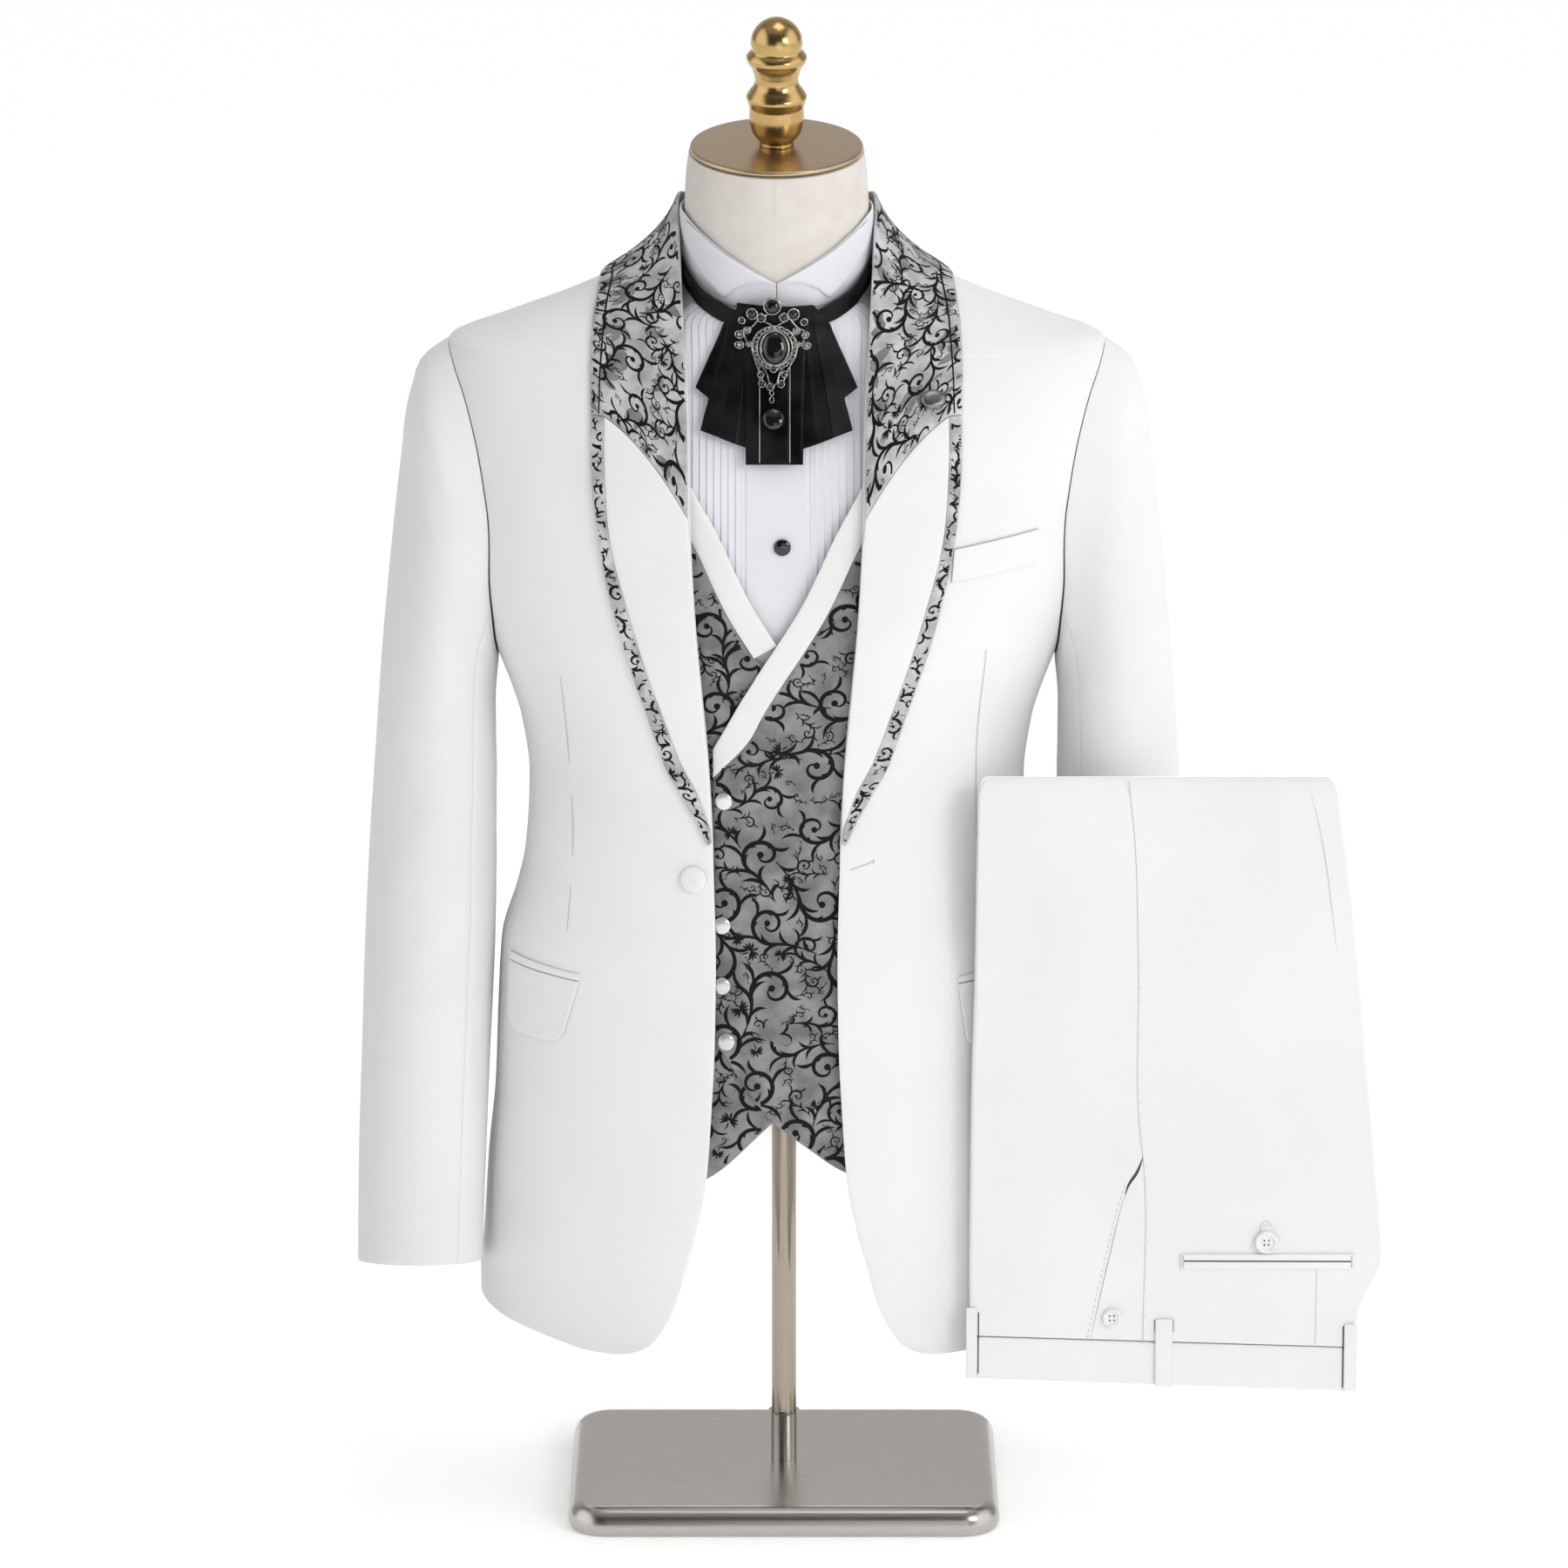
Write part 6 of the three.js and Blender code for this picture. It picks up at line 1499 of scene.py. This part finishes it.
def buildLegs():
    t = trousers
    thick, layers = t["thick"], t["layers"]
    z = np.concatenate([[142.5, 143.2, 144.5], np.linspace(148, 524, 104)])
    left, right = track(t, "legZ", "left")(z), track(t, "legZ", "right")(z)
    lower = np.clip((t["cutBelow"] + 14 - z) / 21.5, 0, 1) * t["lowCut"]
    rings = [foldedRing(l, r, a + 0.8, a - cut, trousersBack, thick, layers, trouserRelief)
             for a, l, r, cut in zip(z, left, right, lower)]
    foldAt = track(t, "foldTurn", "foldZ")
    for angle in (8, 16, 25, 34, 42, 50, 58, 65, 72, 78, 84):   # the rounded top, where the legs fold over
        lost = thick * (1 - math.cos(math.radians(angle))) / 2
        top = float(foldAt(angle))
        rings.append(foldedRing(t["left"][-1] + lost, t["right"][-1] - lost, top, top, trousersBack - lost,
                                thick - 2 * lost, layers, smoothFace))
    legs = place(ringPiece("trouser_legs_cloth", rings, sharp=60), look["suiting"], "white_wool",
                 "trouser_legs")
    width, length, area = t["legsFlat"]
    declare(legs, width, length, "folded", area=area)


def buildWaistband():
    w, thick = trousers["waist"], trousers["thick"]
    share = np.concatenate([[0, 0.03, 0.08], np.linspace(0.15, 0.85, 12), [0.92, 0.97, 1]])
    rows = [np.interp(share * 2, [0, 1, 2], w[key]) for key in ("left", "right", "leftZ", "rightZ")]
    rings = []
    for s, l, r, a, b in zip(share, *rows):
        lost = 0.8 * max(0, 1 - min(s, 1 - s) / 0.08) ** 2
        rings.append(foldedRing(l + lost, r - lost, a, b, trousersBack - lost, thick - 2 * lost, 2,
                                smoothFace))
    waist = place(ringPiece("trouser_waistband_cloth", rings, sharp=60), look["suiting"], "white_wool",
                  "trouser_waistband")
    declare(waist, *trousers["waistFlat"], "folded")


def buildTrouserTrims():
    for name, (x0, x1, z0, z1, deep) in trouserTrims.items():
        piece = place(slabPiece(name + "_cloth", x0, x1, z0, z1, deep), look["suiting"], "white_wool", name)
        declare(piece, (x1 - x0) / 1000, (z1 - z0) / 1000, "folded", ["trouser_legs"])
    for name, (x, z, off, r, h) in trouserButtons.items():
        buttonOn(name + "_shape", np.array([x, trousersFace - off, z]), (0, -1, 0), dishButton(r, h),
                 look["shellButton"], "white_wool", name)


buildLegs()
buildWaistband()
buildTrouserTrims()
print("trousers made")

# Seam lines, slits and stitches as strips of painted shade, and a black seam line along the collar
fineLines = {
    "half": 0.22,
    "darts": [[(-148.1, 624.2), (-142, 555), (-138.7, 485.8), (-144, 408.7)],
              [(141, 623.6), (135.2, 540.5), (137, 470), (141, 409)]],
    "buttonhole": [(49.8, 471.9), (65.7, 477.3)],
    "sideSeam": [(238, 536), (242, 500.9), (245.8, 409.4), (248.2, 287), (250.2, 270.3), (251.5, 137.5)],
    "slit": [(250.4, 271.5), (246.6, 261), (240.3, 250.5), (238.2, 243.5)],
    "pocket": [(240.3, 250.5), (235.7, 235), (228.8, 203.9), (221.4, 169.6), (215.1, 138.6)],
    "backDart": [(370.2, 190.5), (369.9, 137)],
    "crease": [(360.3, 532), (367.9, 500.9), (381, 414.9)],
    "tabPoint": [(331, 222.6), (335, 225.4), (339, 222.6)],
    "loopShades": [([(138.4, 116), (138.6, 160)], 0.42), ([(389.1, 106), (389.1, 150)], 0.42),
                   ([(259.4, 146), (259.4, 155)], 0.2), ([(272.4, 146), (272.4, 155)], 0.2)],
    "weltSlit": [(279, 197.3), (393.6, 197.0)], "weltFront": 1.98,
    "bartacks": [[(278.6, 192.6), (278.6, 201)], [(394, 192.6), (394, 201)]],
    "collarEdge": 8.2,
}


def smoothLine(points, every=1.5):
    points = [np.array(p, float) for p in points]
    long = sum(np.hypot(*(b - a)) for a, b in zip(points, points[1:]))
    return through(points, int(long / every) + 4)


def plainLine(points, half=fineLines["half"]):
    line = smoothLine(points)
    return line, np.full(len(line), half)


def taperedLine(points, half):
    line = smoothLine(points, 0.8)
    return line, half * np.sin(np.pi * np.linspace(0.04, 0.96, len(line)))


def stitches(points, every, long, half, shift):
    # short strokes spaced along a line, shifted to one side of it
    line = smoothLine(points, 0.4)
    ahead = unit(np.gradient(line, axis=0))
    line = line + np.stack([-ahead[:, 1], ahead[:, 0]], -1) * shift
    at = np.concatenate([[0], np.cumsum(np.linalg.norm(np.diff(line, axis=0), axis=-1))])
    made = []
    for start in np.arange(0, at[-1] - long, every):
        where = np.linspace(start, start + long, 5)
        stroke = np.stack([np.interp(where, at, line[:, 0]), np.interp(where, at, line[:, 1])], -1)
        made.append((stroke, np.full(5, half)))
    return made


def everywhere(x, z):
    return np.ones(x.shape, bool)


def onJacket(x, z, lift):
    return withFolds(angleOf(x, z), z, lift)


def onTrousers(x, z, lift):
    return point(x, trousersFace - trouserRelief(point(x, 0 * x, z)) - lift, z)


def onWelt(x, z, lift):
    return point(x, trousersFace - fineLines["weltFront"] - lift + 0 * z, z)


def laidLines(name, lines, surface, material, low, high):
    ribbons(name, lines, surface, everywhere, look[material], "white_wool", low, high)


def buildJacketLines():
    x0, z0, x1, z1, x2, z2, x3, z3 = pockets["welt"]
    # darts, welt edges, the buttonhole and the jets' ends: grey strips of painted seam shade
    lines = [plainLine(dart) for dart in fineLines["darts"]]
    lines += [plainLine([(x2 - 0.5, z2 + 0.5), (x3 + 0.4, z3 + 0.5)], 0.2),
              plainLine([(x0 - 0.5, z0 - 0.4), (x1 + 0.4, z1 - 0.4)], 0.2),
              plainLine([(x1 + 0.4, z1), (x3 + 0.4, z3)], 0.25)]
    hole = fineLines["buttonhole"]
    x, z = hole[1]
    lines += [plainLine(hole, 0.3), plainLine([(x, z - 1.4), (x + 0.3, z + 1.4)], 0.4)]
    # the gaps between the hip jets and flaps: dark strips of painted shade
    slits = []
    x2, z2, x3, z3 = pockets["flap"][4:]
    for sign, move in ((-1, 0), (1, pockets["rightMove"]["jet"][0])):
        end = sign * (x3 + 0.5) - move
        lines.append(plainLine([(end, z3 - 4), (end, z3 + 5.4)], 0.25))
        slits.append(plainLine([(sign * (x2 + 0.4) - move, z2 + 0.4), (sign * (x3 - 0.3) - move, z3 + 0.4)],
                               0.34))
    laidLines("jacket_seam_shade", lines, onJacket, "seamShade", 0.4, 0.44)
    laidLines("jacket_slit_shade", slits, onJacket, "foldShade", 0.44, 0.48)


def buildTrouserLines():
    f = fineLines
    # side seam, pocket edge, back dart, crease and stitches: grey strips of painted shade
    lines = [plainLine(f["sideSeam"], 0.28), taperedLine(f["pocket"], 0.5), plainLine(f["backDart"], 0.25),
             taperedLine(f["crease"], 0.3)]
    lines += stitches(f["pocket"], 4.4, 2.4, 0.24, -2.4) + stitches(f["sideSeam"][2:], 9, 1.0, 0.2, 1.4)
    lines.append(plainLine(f["tabPoint"]))
    laidLines("trouser_seam_shade", lines, onTrousers, "seamShade", 0.1, 0.14)
    # the trouser pocket's slit and the belt loops' edges: dark strips of painted shade
    slits = [taperedLine(f["slit"], 1.0)] + [plainLine(shade, half) for shade, half in f["loopShades"]]
    laidLines("trouser_slit_shade", slits, onTrousers, "foldShade", 0.16, 0.2)
    # the back pocket's slit: a dark strip of painted shade
    laidLines("pocket_slit_shade", [plainLine(f["weltSlit"], 0.5)], onWelt, "foldShade", 0.05, 0.1)
    # the welt's bartacks: grey strips of painted shade
    laidLines("pocket_bartack_shade", [plainLine(tack, 0.5) for tack in f["bartacks"]], onWelt, "seamShade", 0.05,
              0.12)
    # the buttons' holes: dark discs of painted shade
    holes = []
    for x, z, off, _, h in trouserButtons.values():
        y = trousersFace - off - h * 0.72
        holes += [([(x + a, y, z + b), (x + a, y - 0.12, z + b)], 0.62, False)
                  for a in (-1.5, 1.5) for b in (-1.5, 1.5)]
    place(tubes("button_hole_shade", holes, sides=14), look["foldShade"], "white_wool")


def buildCollarSeam():
    grid = collarGrid()
    surface, _, long, _ = gridSurface(grid, collarSteps, collarCentre)
    down = np.linalg.norm(np.diff(grid[:, grid.shape[1] // 2], axis=0), axis=-1)
    v = np.linspace(1, long - 1, 500)
    half = np.interp(v, np.concatenate([[0], np.cumsum(down)]), lengthsOf(grid, 1)[:, -1]) / 2
    edge = np.stack([half - fineLines["collarEdge"], v], -1)
    ribbons("collar_edge_seam", [(edge, np.full(len(v), 0.62))], surface, everywhere, look["scroll"],
            "collar_brocade", 0.2, 0.3)


buildJacketLines()
buildTrouserLines()
buildCollarSeam()
print("seam lines, slits and stitches laid")

# Stand, dress form, cap and finial
stand = {"width": 298, "depth": 234, "corner": 27, "inset": [5, 1.5, 0, 0, 1.2, 4, 8.5, 12],
         "z": [0, 1, 4, 9, 13, 17, 19.5, 20], "pole": 8.6, "poleTop": 321.7,
         "ferrule": [(8.9, 20.1), (8.95, 53), (9.3, 54.4), (10.2, 54.9), (10.9, 55)],
         "bore": [(8.75, 55), (8.75, 20.1)]}
capProfile = [(55, 0), (57.5, 0.6), (58.4, 2), (58, 3.6), (57, 4.1)]
finialProfile = [(11.5, 0), (11.8, 1), (11.3, 2.4), (13.2, 4.4), (16.4, 9), (18, 15), (18.5, 23), (18.3, 26),
                 (19.6, 30.5), (20.4, 34), (18.6, 37.4), (15.6, 42), (14.6, 46), (15.6, 50.5), (17.2, 55),
                 (20, 59.5), (20.4, 62), (18.8, 64.6), (16.9, 66.6), (17.5, 71.5), (16.8, 76.5), (14, 82),
                 (9.6, 86.2), (4.6, 88.6)]


def roundedRect(width, depth, corner, z, steps=16):
    out = []
    x, y = width / 2 - corner, depth / 2 - corner
    for sx, sy, turn in ((1, 1, 0), (-1, 1, 90), (-1, -1, 180), (1, -1, 270)):
        for k in range(steps + 1):
            a = math.radians(turn + 90 * k / steps)
            out.append((sx * x + corner * math.cos(a), sy * y + corner * math.sin(a), z))
    return out


def buildStand():
    width, depth, corner, r = stand["width"], stand["depth"], stand["corner"], stand["pole"]
    inset = through([[v] for v in np.stack([stand["inset"], stand["z"]], -1)], 40)[:, 0]
    rings = [roundedRect(width - 2 * d, depth - 2 * d, corner - d, z) for d, z in inset]
    rings += [roundedRect((width - 24) * f, (depth - 24) * f, 15 * f, 20) for f in (0.995, 0.9, 0.5)]
    place(ringPiece("stand_base_shape", rings, 0, sharp=50), look["steel"], "base_steel", "stand_base")
    rings = turnedPoints([(r, 20.1), (r, 100), (r, stand["poleTop"])], (0, 0, 0), (0, 0, 1), 64, 0)
    place(ringPiece("stand_pole_shape", rings, 0), look["nickel"], "pole_nickel", "stand_pole")
    rings = turnedPoints([*stand["ferrule"], *stand["bore"]], (0, 0, 0), (0, 0, 1), 64, 0)
    place(ringPiece("stand_ferrule_shape", rings, 0, hoop=True, sharp=50), look["steel"], "base_steel",
          "stand_ferrule")


def buildForm():
    angle = np.linspace(0, 2 * np.pi, 132, endpoint=False)[None]
    z = np.concatenate([[322, 322.6, 323.6, 325], np.linspace(327, 950, 110), [951, 951.5]])[:, None]
    place(ringPiece("dress_form_body", formSkin(angle, z), sharp=50), look["linen"], "form_linen",
          "dress_form")
    axis = np.array([0, -math.sin(neckTilt), math.cos(neckTilt)])
    seat = np.array([0, -17.2, 951.5]) + axis * 0.3
    rim = through([[row] for row in np.array(capProfile, float)], 24)[:, 0]
    profile = [(0.5, 0), (54, 0), *rim, (56, 4.15), (40, 4.2), (13, 4.2), (0.5, 4.2)]
    place(ringPiece("neck_cap_shape", turnedPoints(profile, seat, axis, 128, 0), sharp=40), look["capBrass"],
          "brass", "neck_cap")
    rings = turnedPoints([*finialProfile, (0.3, 89.4)], seat + axis * 4.4, axis, 72, 110)
    place(ringPiece("neck_finial_shape", rings, sharp=60), look["brass"], "brass", "neck_finial")


buildStand()
buildForm()
print("stand and dress form made")

# Camera, light and floor
def aimed(piece, spot, target):
    piece.location = spot
    way = mathutils.Vector(target) - mathutils.Vector(spot)
    piece.rotation_euler = way.to_track_quat("-Z", "Y").to_euler()
    bpy.context.scene.collection.objects.link(piece)
    return piece


view = {"lens": 200, "distance": 6, "rise": 14, "height": 0.507}   # mm; metres, degrees and metres


def buildCamera():
    lens = bpy.data.cameras.new("mainCamera")
    lens.lens, lens.sensor_width, lens.dof.use_dof = view["lens"], 36, False
    lens.clip_end = 60
    rise, far, height = math.radians(view["rise"]), view["distance"], view["height"]
    spot = (0, -far * math.cos(rise), height + far * math.sin(rise))
    bpy.context.scene.camera = aimed(bpy.data.objects.new("mainCamera", lens), spot, (0, 0, height))


# name, place, aimed at, size in metres, watts; a lamp of half a metre or less stands inside and stays unseen
lights = [
    ("keyLight", (2.6, -3.0, 2.2), (0, 0, 0.55), 1.3, 34),
    ("frontLight", (0.9, -4.1, 0.9), (0, 0, 0.3), 2.0, 10),
    ("topLight", (0.3, -0.2, 3.2), (0, 0, 0.5), 1.2, 8),
    ("innerLight", (0, -0.03, 0.09), (0, 0.12, 0.26), 0.16, 0.5),
    ("gapLight", (0.272, -0.1, 0.4), (0.272, 0.2, 0.4), 0.28, 0.5),
]
largestHidden = 0.5
studio = {"left": 0.42, "right": 1.12, "floor": 0.95, "floorGlow": 0.26, "reflected": (0.06, 1.35),
          "reflectFrom": 0.55, "reflectTo": 0.8, "behind": 0.62}


def buildWorld():
    # soft light that is stronger from the right; glossy surfaces see a darker room with two bright walls
    world = bpy.data.worlds.new("studioWorld")
    bpy.context.scene.world = world
    world.use_nodes = True
    tree = world.node_tree
    way = node(tree, "ShaderNodeTexCoord")
    parts = node(tree, "ShaderNodeSeparateXYZ", {0: way.outputs["Generated"]})
    soft = node(tree, "ShaderNodeMapRange", {"Value": parts.outputs[0], "From Min": -1, "From Max": 1,
                                             "To Min": studio["left"], "To Max": studio["right"]})
    side = node(tree, "ShaderNodeMath", {0: parts.outputs[0]}, operation="ABSOLUTE")
    low, high = studio["reflected"]
    facing = node(tree, "ShaderNodeMapRange", {"Value": parts.outputs[1], "From Min": 0.1, "From Max": 0.6,
                                               "To Min": 1, "To Max": 0}, interpolation_type="SMOOTHSTEP")
    behind = node(tree, "ShaderNodeMapRange", {"Value": parts.outputs[1], "From Min": 0.15, "From Max": 0.9,
                                               "To Min": 0, "To Max": studio["behind"]})
    walls = node(tree, "ShaderNodeMapRange", {"Value": side.outputs[0], "From Min": studio["reflectFrom"],
                                              "From Max": studio["reflectTo"], "To Min": low, "To Max": high},
                 interpolation_type="SMOOTHSTEP")
    ceiling = node(tree, "ShaderNodeMapRange", {"Value": parts.outputs[2], "From Min": 0.55, "From Max": 0.9,
                                                "To Min": 0, "To Max": 0.4}, interpolation_type="SMOOTHSTEP")
    lit = node(tree, "ShaderNodeMath", {0: walls.outputs[0], 1: facing.outputs[0]}, operation="MULTIPLY")
    room = node(tree, "ShaderNodeMath", {0: lit.outputs[0], 1: ceiling.outputs[0]}, operation="MAXIMUM")
    room = node(tree, "ShaderNodeMath", {0: room.outputs[0], 1: behind.outputs[0]}, operation="MAXIMUM")
    path = node(tree, "ShaderNodeLightPath")
    strength = node(tree, "ShaderNodeMix", {0: path.outputs["Is Glossy Ray"], 2: soft.outputs[0],
                                            3: room.outputs[0]},
                    data_type="FLOAT")
    sky = tree.nodes["Background"]
    sky.inputs["Color"].default_value = (1, 1, 1, 1)
    tree.links.new(strength.outputs[0], sky.inputs["Strength"])


def buildLights():
    for name, spot, target, size, power in lights:
        lamp = bpy.data.lights.new(name, "AREA")
        lamp.size, lamp.energy = size, power
        placed = aimed(bpy.data.objects.new(name, lamp), spot, target)
        placed.visible_camera = placed.visible_glossy = size > largestHidden
    floor = meshFrom("studioFloor", [(-30, -12, 0), (30, -12, 0), (30, 40, 0), (-30, 40, 0)], [(0, 1, 2, 3)])
    pale = studio["floor"]
    paper, _, _ = newMaterial("studioPaper", **{
        "Base Color": (pale, pale, pale, 1), "Roughness": 0.9, "Specular IOR Level": 0.1,
        "Emission Color": (1, 1, 1, 1), "Emission Strength": studio["floorGlow"]})
    floor.data.materials.append(paper)
    buildWorld()
    bpy.context.scene.view_settings.view_transform = "Standard"


buildCamera()
buildLights()
print("camera, lights and floor set")
